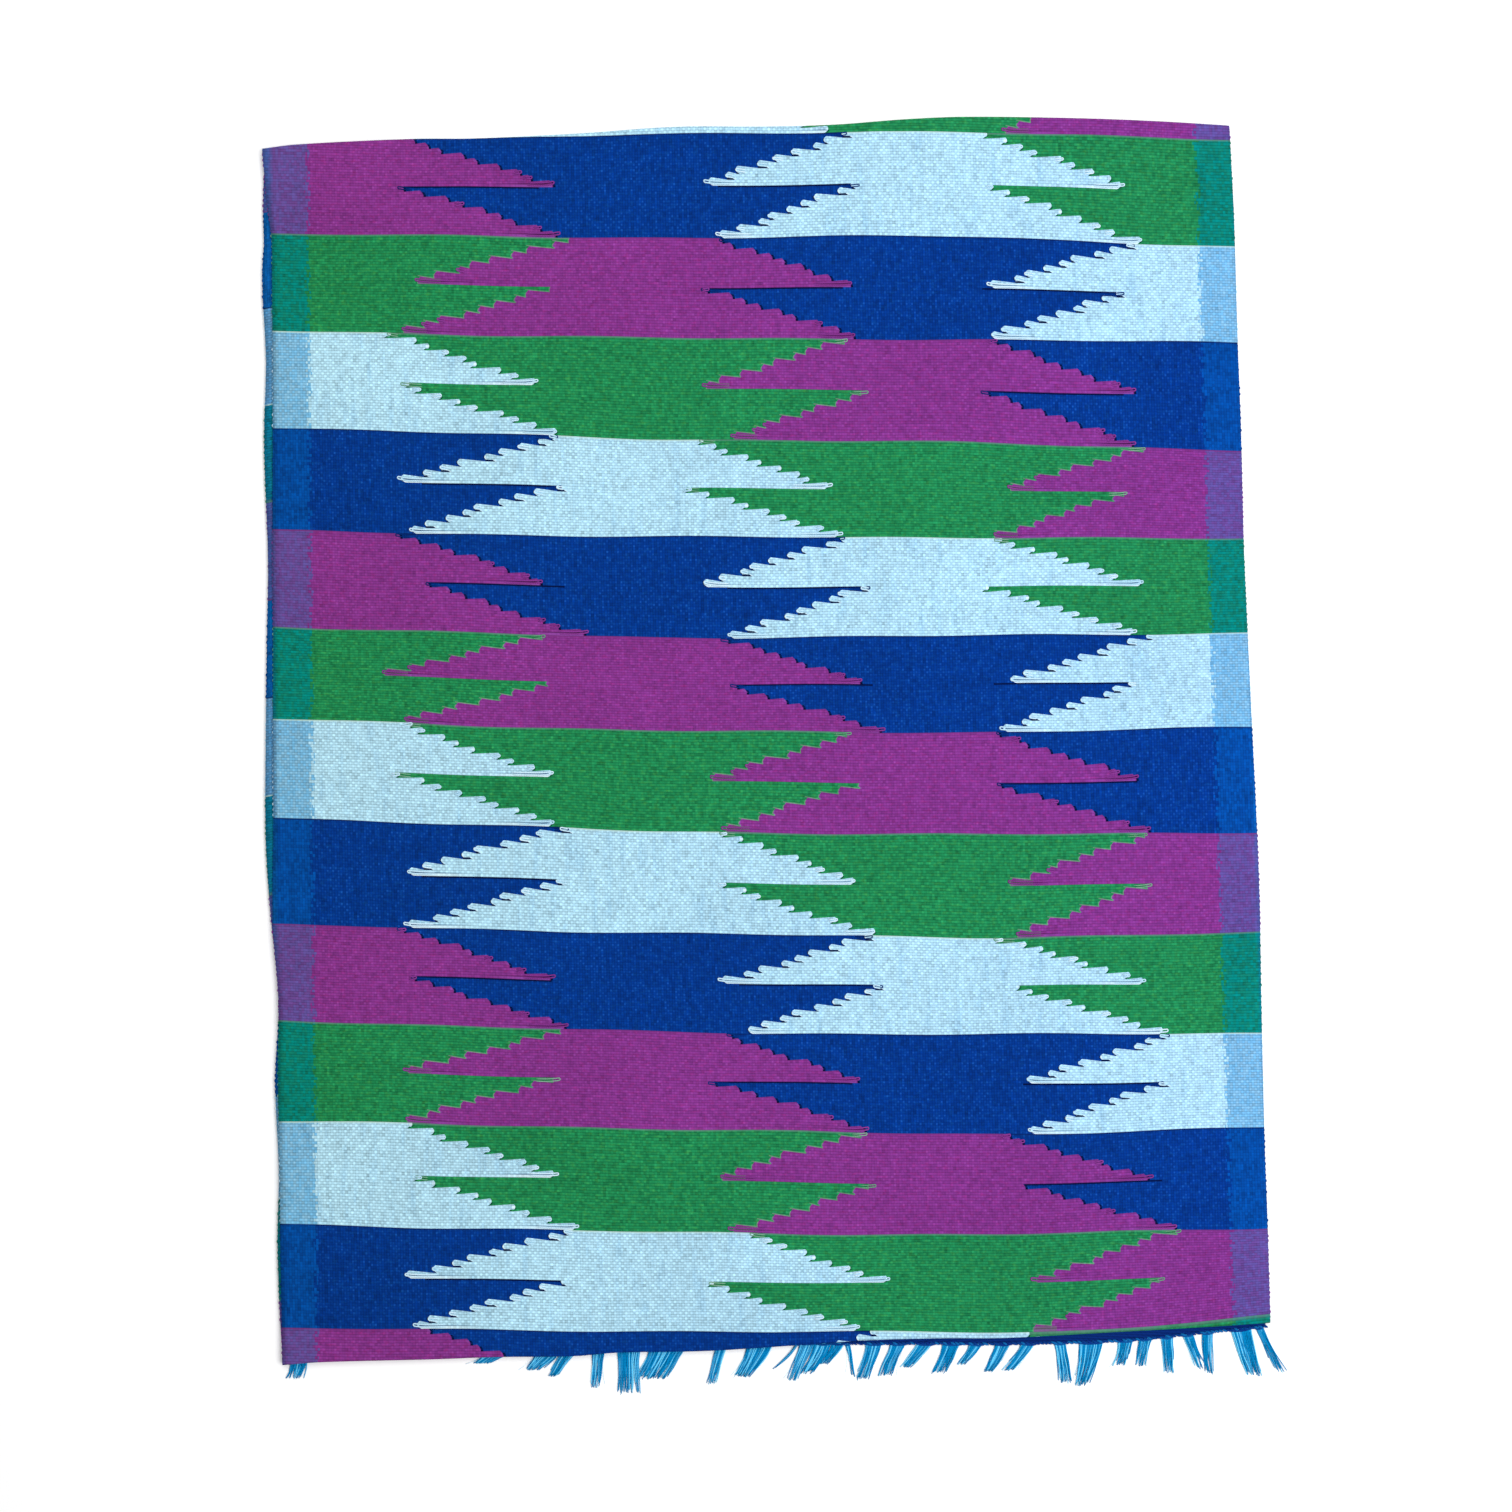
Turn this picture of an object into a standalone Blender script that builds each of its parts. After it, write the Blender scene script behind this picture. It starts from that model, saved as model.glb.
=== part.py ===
"""A handwoven shawl folded in three and laid flat, its fringed end at the bottom edge.

The front stretch is a wall of cloth with a fold at each end. Its lower end turns under behind
it, and its upper end turns under to the surface the shawl lies on. Those two hidden layers are
one solid, with a groove along each side where they part. The end of the lowest layer shows
below the front as a narrow heading, and the fringe hangs from it. Metres, +Z up, +X to the
right and +Y towards the top of the shawl as it is looked at from above.
"""

import math
import random

import bmesh
import bpy
from mathutils import Vector

MM = 0.001

# Driving sizes
WIDTH = 0.700                 # across the cloth, selvedge to selvedge
TOP = 0.450                   # the upper fold, before its own waves
BOTTOM = -0.420               # the lower fold, before its own waves
CLOTH = 0.0013                # thickness of the woven cloth
SEAM = 0.0003                 # space between pieces that lie on each other
ACROSS = 18                   # steps across the cloth

# Heights of the three layers, each at the middle of its thickness
FLOOR_LAYER = CLOTH / 2
TURNED_LAYER = FLOOR_LAYER + CLOTH + SEAM
FRONT_LAYER = TURNED_LAYER + CLOTH + SEAM

# The folds: radius of the middle of the cloth, and how far the cloth runs on behind
LOWER_FOLD = 0.0012
UPPER_FOLD = 0.0019
LOWER_LIP = 0.014
UPPER_LIP = 0.012
FOLD_STEPS = 5
PUFF_FADE = 0.012             # the cloth stands up at a fold and settles over this length

# The hidden layers
GROOVE = 0.009                # depth of the groove between them
GROOVE_END = 0.0004           # its depth where it runs out
EDGE_ROUND = 0.0006           # rounding of a selvedge
LOBE_STEPS = 3                # steps round one layer's edge
STEP = 0.0002                 # length of the step where one of the layers ends
TURNED_END = 0.003            # the turned layer stops this far inside the upper fold

# The fringed end
HEADING = 0.008               # depth of the heading strip
ROOT_LOW = 0.00035            # a strand's root stands this high on the heading's edge
STRAND_PITCH = 0.0017
STRAND_ROOT = 0.0013
STRAND_WAIST = 0.8            # its width just past the root, as a share of the root's
STRAND_TIP = 0.0005
STRAND_FLAT = 0.8             # its height as a share of its width
STRAND_LIFT = 0.0003          # how far a tip may rise above the height of the roots
STRAND_STEPS = 4
STATION_GAP = 0.016           # longest plain stretch of heading between two cuts across it

# Sides, in mm: below the upper fold, then how far each edge stands out past half the width
SIDES = (
    # below, front left, turned left, floor left, right, hidden right
    (0, 1.2, -1.0, -2.0, 0.4, -2.0),
    (38, -1.5, 1.4, -2.6, 1.2, -2.2),
    (67, -4.7, 1.1, -4.0, 1.6, -1.6),
    (97, -4.6, 3.0, -3.0, 1.5, -1.2),
    (155, -4.2, 0.9, -1.6, 1.3, -1.8),
    (213, -3.5, 3.2, -0.8, 1.6, -2.4),
    (300, -2.0, 1.6, -1.4, 0.8, -2.2),
    (358, -1.6, 3.2, -2.2, 1.3, -1.4),
    (416, -0.4, 6.2, -1.0, 2.0, -0.6),
    (502, 0.5, 7.4, 1.2, 3.4, 0.4),
    (559, 1.8, 3.2, 0.4, 3.6, 0.2),
    (616, -0.2, -0.4, -1.8, 2.7, -0.8),
    (673, 0.3, 2.8, -0.6, 2.0, -1.6),
    (740, 0.5, 1.4, -1.2, 1.4, -2.2),
    (786, 0.6, 3.0, -0.8, 1.6, -1.8),
    (870, 0.9, 1.4, -1.0, 1.1, -1.4),
)

# Ends, in mm: place across, rise of the upper fold, drop of the lower fold, drop of the end
ENDS = (
    # across, upper, lower, end
    (-350, -0.3, 4.0, -0.5),
    (-325, 2.2, 2.6, -0.5),
    (-240, 4.3, 2.4, -0.5),
    (-200, 3.5, 1.9, -0.6),
    (-144, 4.6, 2.6, -1.0),
    (-113, 5.7, 0.9, -1.2),
    (-50, 8.6, 1.2, -2.0),
    (16, 7.2, -1.3, -2.5),
    (64, 7.4, -3.0, -1.0),
    (117, 10.2, -5.2, 0.2),
    (160, 10.9, -2.8, 1.5),
    (245, 7.7, -5.7, 1.3),
    (300, 4.2, -8.1, -2.5),
    (350, -0.1, -10.8, -6.4),
)

# Soft swells of the folded stack, in mm: place, half length and half width, turn, height
SWELLS = (
    # across, up, long, wide, degrees, high
    (-180, 250, 190, 90, 12, 0.6),
    (150, 300, 150, 110, -20, 0.8),
    (40, 30, 230, 100, 8, 0.5),
    (230, -120, 140, 100, 60, 0.7),
    (-190, -200, 170, 90, -15, 0.9),
)
SWELL_FADE = 0.055            # a swell dies out over this distance from an edge

# Bunches of fringe, in mm: root, width there, lean of the tip, reach below the lower fold
BUNCHES = (
    # across, width, lean, reach, strands
    (-338.5, 13.0, -4.5, 14.5, 8),
    (-198.0, 8.0, -9.0, 7.5, 5),
    (-164.0, 13.5, -7.0, 14.0, 8),
    (-147.5, 8.0, -9.0, 18.0, 5),
    (-125.0, 7.0, -3.0, 26.0, 4),
    (-103.0, 13.5, 0.0, 30.5, 8),
    (-74.0, 20.5, -9.0, 21.5, 12),
    (-37.5, 7.0, -8.5, 25.5, 4),
    (-12.5, 15.5, -13.0, 20.5, 9),
    (16.5, 1.8, -20.0, 16.5, 1),
    (24.0, 8.0, -12.0, 24.5, 5),
    (35.0, 10.0, -13.0, 20.0, 6),
    (44.5, 6.5, -10.5, 13.5, 4),
    (51.0, 3.5, 1.0, 23.0, 2),
    (69.5, 8.5, -11.0, 25.0, 5),
    (88.5, 7.0, -11.0, 22.5, 4),
    (110.0, 7.0, -15.0, 16.0, 4),
    (127.0, 8.5, -10.0, 22.0, 5),
    (144.0, 7.0, -11.0, 16.0, 4),
    (164.0, 8.5, -13.5, 22.0, 5),
    (181.5, 8.0, -15.0, 21.0, 5),
    (202.0, 7.0, 3.0, 31.0, 4),
    (221.5, 10.0, -5.0, 33.0, 6),
    (248.5, 8.0, -3.0, 19.5, 5),
    (263.0, 7.0, -4.0, 19.5, 4),
    (278.5, 7.0, 2.0, 26.0, 4),
    (293.5, 6.5, 5.0, 23.5, 4),
    (307.5, 6.5, 1.5, 27.0, 4),
    (331.5, 13.5, 6.5, 29.0, 8),
    (344.3, 4.8, 14.0, 27.0, 3),
)
NECK = 0.3                    # a bunch is narrowest at this share of its length
NECK_WIDTH = 0.84             # its width there, as a share of its width at the roots
TIP_WIDTH = 0.95              # its width at the tips, likewise
LEAN_CURVE = 1.25             # a bunch leans more towards its tips
SHORTEST = 0.16               # the shortest strand of a bunch is this share shorter

COLOURS = {
    "front_stretch": (0.003, 0.043, 0.254),
    "hidden_layers": (0.014, 0.19, 0.08),
    "fringed_end": (0.0, 0.262, 0.578),
}


def eased(rows, column, place):
    """A column's value at a place in the table's first column, on a smooth curve, in metres."""
    spots = [row[0] * MM for row in rows]
    values = [row[column] * MM for row in rows]
    if place <= spots[0]:
        return values[0]
    if place >= spots[-1]:
        return values[-1]
    last = len(spots) - 1
    here = max(i for i in range(last) if spots[i] <= place)

    def slope(i):
        before, after = max(i - 1, 0), min(i + 1, last)
        return (values[after] - values[before]) / (spots[after] - spots[before])

    span = spots[here + 1] - spots[here]
    t = (place - spots[here]) / span
    return ((2 * t**3 - 3 * t**2 + 1) * values[here] + (t**3 - 2 * t**2 + t) * span * slope(here)
            + (3 * t**2 - 2 * t**3) * values[here + 1] + (t**3 - t**2) * span * slope(here + 1))


def upper_fold(x):
    return TOP + eased(ENDS, 1, x)


def lower_fold(x):
    return BOTTOM - eased(ENDS, 2, x)


def end_line(x):
    return BOTTOM - eased(ENDS, 3, x)


def side(column, y):
    """How far out one of the edges stands at a height up the shawl."""
    return WIDTH / 2 + eased(SIDES, column, TOP - y)


def swell(x, y):
    """Height of the soft swells, none at the edges."""
    total = 0.0
    for across, up, long, wide, degrees, high in SWELLS:
        turn = math.radians(degrees)
        dx, dy = x - across * MM, y - up * MM
        along = (dx * math.cos(turn) + dy * math.sin(turn)) / (long * MM)
        over = (dy * math.cos(turn) - dx * math.sin(turn)) / (wide * MM)
        total += high * MM * math.exp(-along**2 - over**2)
    room = min(WIDTH / 2 - abs(x), upper_fold(x) - y, y - lower_fold(x))
    share = max(0.0, min(1.0, room / SWELL_FADE))
    return total * share * share * (3 - 2 * share)


def spread(start, stop, steps):
    return [start + (stop - start) * i / steps for i in range(steps + 1)]


def row_shares():
    """Rows up the flat of the cloth, closer near the two folds, as shares of its height."""
    near = (0.005, 0.012, 0.025, 0.045)
    middle = spread(0.09, 0.91, 12)
    return list(near) + middle + [1 - share for share in reversed(near)]


def front_line(x):
    """The front wall's middle line at one place across, as pairs of y and z."""
    low = lower_fold(x) + CLOTH / 2 + LOWER_FOLD
    high = upper_fold(x) - CLOTH / 2 - UPPER_FOLD
    top_height = FLOOR_LAYER + 2 * UPPER_FOLD
    low_height = TURNED_LAYER + 2 * LOWER_FOLD
    line = [(low + LOWER_LIP, TURNED_LAYER), (low + LOWER_LIP / 2, TURNED_LAYER)]
    for angle in spread(-math.pi / 2, math.pi / 2, FOLD_STEPS):
        line.append((low - LOWER_FOLD * math.cos(angle),
                     TURNED_LAYER + LOWER_FOLD * (1 + math.sin(angle))))
    for share in row_shares():
        y = low + (high - low) * share
        puff = ((low_height - FRONT_LAYER) * math.exp(-(y - low) / PUFF_FADE)
                + (top_height - FRONT_LAYER) * math.exp(-(high - y) / PUFF_FADE))
        line.append((y, FRONT_LAYER + puff + swell(x, y)))
    for angle in spread(math.pi / 2, -math.pi / 2, FOLD_STEPS):
        line.append((high + UPPER_FOLD * math.cos(angle),
                     FLOOR_LAYER + UPPER_FOLD * (1 + math.sin(angle))))
    line += [(high - UPPER_LIP / 2, FLOOR_LAYER), (high - UPPER_LIP, FLOOR_LAYER)]
    return line


def mesh_object(name, points, faces, collection):
    """A named object with its own material from points and faces."""
    mesh = bpy.data.meshes.new(name)
    mesh.from_pydata([tuple(p) for p in points], [], faces)
    mesh.validate()
    built = bpy.data.objects.new(name, mesh)
    collection.objects.link(built)
    material = bpy.data.materials.new(name + "_cotton")
    material.use_nodes = True
    shader = material.node_tree.nodes["Principled BSDF"]
    shader.inputs["Base Color"].default_value = (*COLOURS[name], 1.0)
    shader.inputs["Roughness"].default_value = 0.85
    shader.inputs["Metallic"].default_value = 0.0
    mesh.materials.append(material)
    return built


def face_outwards(built):
    """Turn every face of a closed mesh outwards and shade its soft edges smooth."""
    shape = bmesh.new()
    shape.from_mesh(built.data)
    bmesh.ops.recalc_face_normals(shape, faces=shape.faces)
    shape.to_mesh(built.data)
    shape.free()
    built.data.shade_smooth()
    built.data.set_sharp_from_angle(angle=math.radians(50))


def make_front_stretch(collection):
    """The stretch that shows, an open sheet given its thickness by Solidify."""
    columns = []
    for share in spread(0.0, 1.0, ACROSS):
        nominal = WIDTH * (share - 0.5)
        column = []
        for y, z in front_line(nominal):
            left, right = -side(1, y), side(4, y)
            column.append(Vector((left + (right - left) * share, y, z)))
        columns.append(column)
    rows = len(columns[0])
    points = [point for column in columns for point in column]
    faces = []
    for i in range(ACROSS):
        for j in range(rows - 1):
            corner = i * rows + j
            faces.append((corner, corner + rows, corner + rows + 1, corner + 1))
    built = mesh_object("front_stretch", points, faces, collection)
    wall = built.modifiers.new("Wall", "SOLIDIFY")
    wall.thickness = CLOTH
    wall.offset = 0.0
    wall.use_even_offset = True
    wall.use_quality_normals = True
    built.data.shade_smooth()
    return built


def lobe(low, high, out, steps):
    """The rounded edge of one layer, from its underside to its top, as pairs of out and z."""
    section = []
    for angle in spread(0.0, math.pi, steps):
        section.append((out - EDGE_ROUND * (1 - math.sin(angle)),
                        low + (high - low) * (1 - math.cos(angle)) / 2))
    return section


def edge_section(floor_out, turned_out, floor, turned, groove):
    """One side of the hidden layers, from below to above: both lobes or the one that is there."""
    layer_floor = (0.0, CLOTH)
    layer_turned = (CLOTH + SEAM, 2 * CLOTH + SEAM)
    if floor and turned:
        inner = min(floor_out, turned_out) - EDGE_ROUND - groove
        return (lobe(*layer_floor, floor_out, LOBE_STEPS)
                + [(inner, CLOTH), (inner, CLOTH + SEAM)]
                + lobe(*layer_turned, turned_out, LOBE_STEPS))
    steps = 2 * LOBE_STEPS + 3
    if floor:
        return lobe(*layer_floor, floor_out, steps)
    return lobe(*layer_turned, turned_out, steps)


def hidden_rows():
    """Rows of the hidden layers from the bottom: y at a place across, layers there, groove."""
    def after_heading(x):
        return end_line(x) + HEADING + SEAM

    def turned_start(x):
        return lower_fold(x) + CLOTH / 2 + LOWER_FOLD + LOWER_LIP + SEAM

    def floor_stop(x):
        return upper_fold(x) - CLOTH / 2 - UPPER_FOLD - UPPER_LIP - SEAM

    def turned_stop(x):
        return upper_fold(x) - CLOTH - TURNED_END

    def between(share):
        return lambda x: turned_start(x) + (floor_stop(x) - turned_start(x)) * share

    rows = [(after_heading, True, False, GROOVE_END),
            (lambda x: turned_start(x) - STEP, True, False, GROOVE_END),
            (turned_start, True, True, GROOVE_END)]
    for share in [0.008, 0.02] + spread(0.08, 0.92, 13) + [0.98, 0.992]:
        ends = share < 0.01 or share > 0.99
        rows.append((between(share), True, True, GROOVE_END if ends else GROOVE))
    rows += [(floor_stop, True, True, GROOVE_END),
             (lambda x: floor_stop(x) + STEP, False, True, GROOVE_END),
             (turned_stop, False, True, GROOVE_END)]
    return rows


def hidden_ring(row):
    """One closed ring of points round the hidden layers."""
    place, floor, turned, groove = row
    at_left, at_right = place(-WIDTH / 2), place(WIDTH / 2)
    left = edge_section(side(3, at_left), side(2, at_left), floor, turned, groove)
    right = edge_section(side(5, at_right), side(5, at_right), floor, turned, groove)
    under = left[0][1]

    def point(x, z):
        return Vector((x, place(x), z))

    ring = []
    for share in spread(0.0, 1.0, ACROSS):
        ring.append(point(-left[0][0] + (right[0][0] + left[0][0]) * share, under))
    ring += [point(out, z) for out, z in right[1:]]
    over = right[-1][1]
    for share in spread(1.0, 0.0, ACROSS)[1:-1]:
        x = -left[-1][0] + (right[-1][0] + left[-1][0]) * share
        rise = swell(x, place(x)) if floor and turned else 0.0
        ring.append(point(x, over + rise))
    ring += [point(-out, z) for out, z in reversed(left[1:])]
    return ring


def make_hidden_layers(collection):
    """The two layers behind the front, one solid lofted from rings."""
    rings = [hidden_ring(row) for row in hidden_rows()]
    size = len(rings[0])
    points = [point for ring in rings for point in ring]
    faces = []
    for i in range(len(rings) - 1):
        for j in range(size):
            k = (j + 1) % size
            faces.append((i * size + j, i * size + k, (i + 1) * size + k, (i + 1) * size + j))
    edge = 2 * LOBE_STEPS + 3
    for first in (0, (len(rings) - 1) * size):
        right_top = ACROSS + edge
        tops = [right_top + ACROSS - j for j in range(ACROSS + 1)]
        for j in range(ACROSS):
            faces.append((first + j, first + j + 1, first + tops[j + 1], first + tops[j]))
        faces.append(tuple(first + j for j in range(ACROSS, right_top + 1)))
        faces.append(tuple(first + j for j in range(right_top + ACROSS, size)) + (first,))
    built = mesh_object("hidden_layers", points, faces, collection)
    face_outwards(built)
    return built


def heading_stations():
    """Cuts across the heading, and the strand that starts between each cut and the next."""
    roots = []
    for number, (across, width, lean, reach, count) in enumerate(BUNCHES):
        for k in range(count):
            spot = (k - (count - 1) / 2) * min(STRAND_PITCH, width * MM / count)
            roots.append((across * MM + spot, number))
    cuts = [(-side(3, end_line(-WIDTH / 2)), None)]
    for centre, number in roots:
        half = STRAND_ROOT / 2
        while centre - half - cuts[-1][0] > STATION_GAP * 1.5:
            cuts.append((cuts[-1][0] + STATION_GAP, None))
        cuts.append((centre - half, number))
        cuts.append((centre + half, None))
    cuts.append((side(5, end_line(WIDTH / 2)), None))
    return cuts


def strand_rings(number, root, draw):
    """Rings of four points down one strand, which follows its bunch and ends a little before it."""
    across, width, lean, reach, count = BUNCHES[number]
    spot = root.x - across * MM
    end = BOTTOM - reach * MM
    stop = 1 - draw.uniform(0.0, SHORTEST)
    lift = draw.uniform(0.0, STRAND_LIFT)
    rings = []
    for part in spread(0.0, 1.0, STRAND_STEPS)[1:]:
        share = stop * part
        draw_in = min(share / NECK, 1.0)
        spread_out = max(0.0, (share - NECK) / (1 - NECK))
        gather = 1 - (1 - NECK_WIDTH) * draw_in + (TIP_WIDTH - NECK_WIDTH) * spread_out
        x = across * MM + spot * gather + lean * MM * share**LEAN_CURVE
        y = root.y + (end - root.y) * share
        half = (STRAND_ROOT * STRAND_WAIST * (1 - part) + STRAND_TIP * part) / 2
        low = ROOT_LOW + lift * part
        high = low + 2 * half * STRAND_FLAT
        rings.append([Vector((x - half, y, low)), Vector((x + half, y, low)),
                      Vector((x + half, y, high)), Vector((x - half, y, high))])
    return rings


def make_fringed_end(collection):
    """The heading at the cloth's end, its strands growing out of its outer edge."""
    draw = random.Random(7)
    points, faces, cuts = [], [], heading_stations()
    for x, strand in cuts:
        y = end_line(x)
        points += [Vector((x, y + HEADING, 0.0)), Vector((x, y, 0.0)), Vector((x, y, ROOT_LOW)),
                   Vector((x, y, CLOTH)), Vector((x, y + HEADING, CLOTH))]
    ring = 5
    for i in range(len(cuts) - 1):
        here, there = i * ring, (i + 1) * ring
        for j in range(ring):
            k = (j + 1) % ring
            if j == 2 and cuts[i][1] is not None:
                continue
            faces.append((here + j, here + k, there + k, there + j))
    faces.append(tuple(range(ring)))
    faces.append(tuple((len(cuts) - 1) * ring + j for j in range(ring)))
    for i, (x, strand) in enumerate(cuts):
        if strand is None:
            continue
        here, there = i * ring, (i + 1) * ring
        last = (here + 2, there + 2, there + 3, here + 3)
        root = (points[here + 2] + points[there + 2]) / 2
        for rung in strand_rings(strand, root, draw):
            first = len(points)
            points += rung
            new = tuple(range(first, first + 4))
            for j in range(4):
                k = (j + 1) % 4
                faces.append((last[j], last[k], new[k], new[j]))
            last = new
        faces.append(last)
    built = mesh_object("fringed_end", points, faces, collection)
    face_outwards(built)
    return built


def stand_on_origin(pieces, holder):
    """Bring the middle of the whole shawl's underside to the origin."""
    bpy.context.view_layer.update()
    graph = bpy.context.evaluated_depsgraph_get()
    corners = [piece.matrix_world @ vertex.co for piece in pieces
               for vertex in piece.evaluated_get(graph).data.vertices]
    low = Vector([min(corner[axis] for corner in corners) for axis in range(3)])
    high = Vector([max(corner[axis] for corner in corners) for axis in range(3)])
    holder.location = (-(low.x + high.x) / 2, -(low.y + high.y) / 2, -low.z)


def main():
    for old in list(bpy.data.objects):
        bpy.data.objects.remove(old, do_unlink=True)
    collection = bpy.data.collections.new("folded_shawl")
    bpy.context.scene.collection.children.link(collection)
    holder = bpy.data.objects.new("shawl_place", None)
    collection.objects.link(holder)
    pieces = [make_front_stretch(collection), make_hidden_layers(collection),
              make_fringed_end(collection)]
    for piece in pieces:
        piece.parent = holder
    stand_on_origin(pieces, holder)


main()
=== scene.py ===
"""A handwoven shawl folded in three and laid flat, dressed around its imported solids.

One cloth runs through the whole fold: the turned layer behind the front, round the lower fold,
up the front, round the upper fold and down the floor layer to its heading and fringe. The
colours are woven in as bands of four wefts that change places in stairs, and the wefts turn
back in small loops at each stair. Metres, +Z up, +X right and +Y towards the top of the shawl.
"""

import bisect
import functools
import math
import random

import bpy
from bpy.props import FloatProperty, FloatVectorProperty, IntProperty, PointerProperty
from mathutils import Matrix, Vector


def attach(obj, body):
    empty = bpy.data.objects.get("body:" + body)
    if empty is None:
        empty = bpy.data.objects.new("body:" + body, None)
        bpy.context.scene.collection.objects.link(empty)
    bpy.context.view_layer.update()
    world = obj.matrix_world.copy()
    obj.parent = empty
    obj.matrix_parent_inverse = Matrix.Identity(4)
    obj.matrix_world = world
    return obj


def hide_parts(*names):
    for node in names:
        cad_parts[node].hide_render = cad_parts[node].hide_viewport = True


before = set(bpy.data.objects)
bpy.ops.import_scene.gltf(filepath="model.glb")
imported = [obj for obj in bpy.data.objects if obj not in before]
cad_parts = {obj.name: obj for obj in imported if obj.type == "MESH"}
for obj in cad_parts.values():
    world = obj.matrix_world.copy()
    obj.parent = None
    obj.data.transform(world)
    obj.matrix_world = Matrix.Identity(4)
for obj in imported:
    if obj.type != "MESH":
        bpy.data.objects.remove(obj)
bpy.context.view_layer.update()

bl_info = {
    "name": "Folded handwoven shawl",
    "version": (1, 0, 0),
    "blender": (4, 5, 0),
    "location": "View3D > Sidebar > Shawl",
    "description": "Builds a handwoven shawl, folded in three and fringed, on its packed solids",
    "category": "Add Mesh",
}

MM = 0.001
PLACE = Vector((-0.000803, -0.004264, 0.0))   # from the shawl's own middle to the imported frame's

# The folded cloth, as in its solids
WIDTH = 0.700
TOP = 0.450
BOTTOM = -0.420
CLOTH = 0.0013
SEAM = 0.0003
FLOOR_LAYER = CLOTH / 2
TURNED_LAYER = FLOOR_LAYER + CLOTH + SEAM
FRONT_LAYER = TURNED_LAYER + CLOTH + SEAM
LOWER_FOLD = 0.0012
UPPER_FOLD = 0.0019
TURNED_END = 0.003
PUFF_FADE = 0.012
SWELL_FADE = 0.055
EDGE_SETTLE = 0.03            # a hidden layer's edge finds its own line over this length

# Rows of the cloth's mesh along its length
COLUMNS = 140
FRONT_ROWS = 172
HIDDEN_ROWS = 40
FOLD_STEPS = 8
CLOSE_ROWS = (0.0022, 0.005, 0.009)     # shares of the front's length, close to a fold
FIRST_ROW = 0.0137            # and the share where the even rows start
RIPPLE_FADE = 0.008           # the front lies plain over this length at its folds

# Sides, in mm: below the upper fold, then how far each edge stands out past half the width
SIDES = (
    # below, front left, turned left, floor left, right, hidden right
    (0, 1.2, -1.0, -2.0, 0.4, -2.0),
    (38, -1.5, 1.4, -2.6, 1.2, -2.2),
    (67, -4.7, 1.1, -4.0, 1.6, -1.6),
    (97, -4.6, 3.0, -3.0, 1.5, -1.2),
    (155, -4.2, 0.9, -1.6, 1.3, -1.8),
    (213, -3.5, 3.2, -0.8, 1.6, -2.4),
    (300, -2.0, 1.6, -1.4, 0.8, -2.2),
    (358, -1.6, 3.2, -2.2, 1.3, -1.4),
    (416, -0.6, 4.8, -1.0, 2.0, -0.6),
    (502, 0.3, 6.2, 1.2, 3.4, 0.4),
    (559, 1.8, 3.2, 0.4, 3.6, 0.2),
    (616, -1.6, -1.6, -2.4, 2.7, -0.8),
    (673, -0.4, 2.0, -0.8, 2.0, -1.6),
    (740, -0.9, 0.2, -1.8, 1.4, -2.2),
    (786, -0.4, 2.0, -1.4, 1.6, -1.8),
    (870, -0.6, 0.4, -1.8, 1.1, -1.4),
)

# Ends, in mm: place across, rise of the upper fold, drop of the lower fold, drop of the end
ENDS = (
    # across, upper, lower, end
    (-350, -0.3, 4.0, -0.5),
    (-325, 2.2, 2.6, -0.5),
    (-240, 4.3, 2.4, -0.5),
    (-200, 3.5, 1.9, -0.6),
    (-144, 4.6, 2.6, -1.0),
    (-113, 5.7, 0.9, -1.2),
    (-50, 8.6, 1.2, -2.0),
    (16, 7.2, -1.3, -2.5),
    (64, 7.4, -3.5, -1.0),
    (117, 10.2, -3.7, 0.2),
    (160, 10.9, -2.8, 1.5),
    (245, 7.7, -5.2, 1.3),
    (300, 4.2, -6.9, -2.5),
    (350, -0.1, -8.9, -6.4),
)

# Soft swells of the folded stack, in mm: place, half length and half width, turn, height
SWELLS = (
    # across, up, long, wide, degrees, high
    (-180, 250, 190, 90, 12, 0.6),
    (150, 300, 150, 110, -20, 0.8),
    (40, 30, 230, 100, 8, 0.5),
    (230, -120, 140, 100, 60, 0.7),
    (-190, -200, 170, 90, -15, 0.9),
)

# Soft creases of the front alone, in mm: from, to, half width, height
CREASES = (
    # across, up, across, up, wide, high
    (66, 452, 78, 372, 7, 0.8),
    (96, 446, 112, 380, 9, 0.5),
    (-210, 440, -196, 360, 12, 0.4),
    (-150, -300, -120, -412, 11, 0.5),
    (214, -330, 226, -414, 10, 0.5),
    (318, 40, 306, -190, 13, 0.6),
    (-322, 120, -330, -160, 14, 0.5),
    (-60, 210, 90, 196, 16, 0.3),
    (120, -60, 250, -78, 15, 0.3),
)

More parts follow.
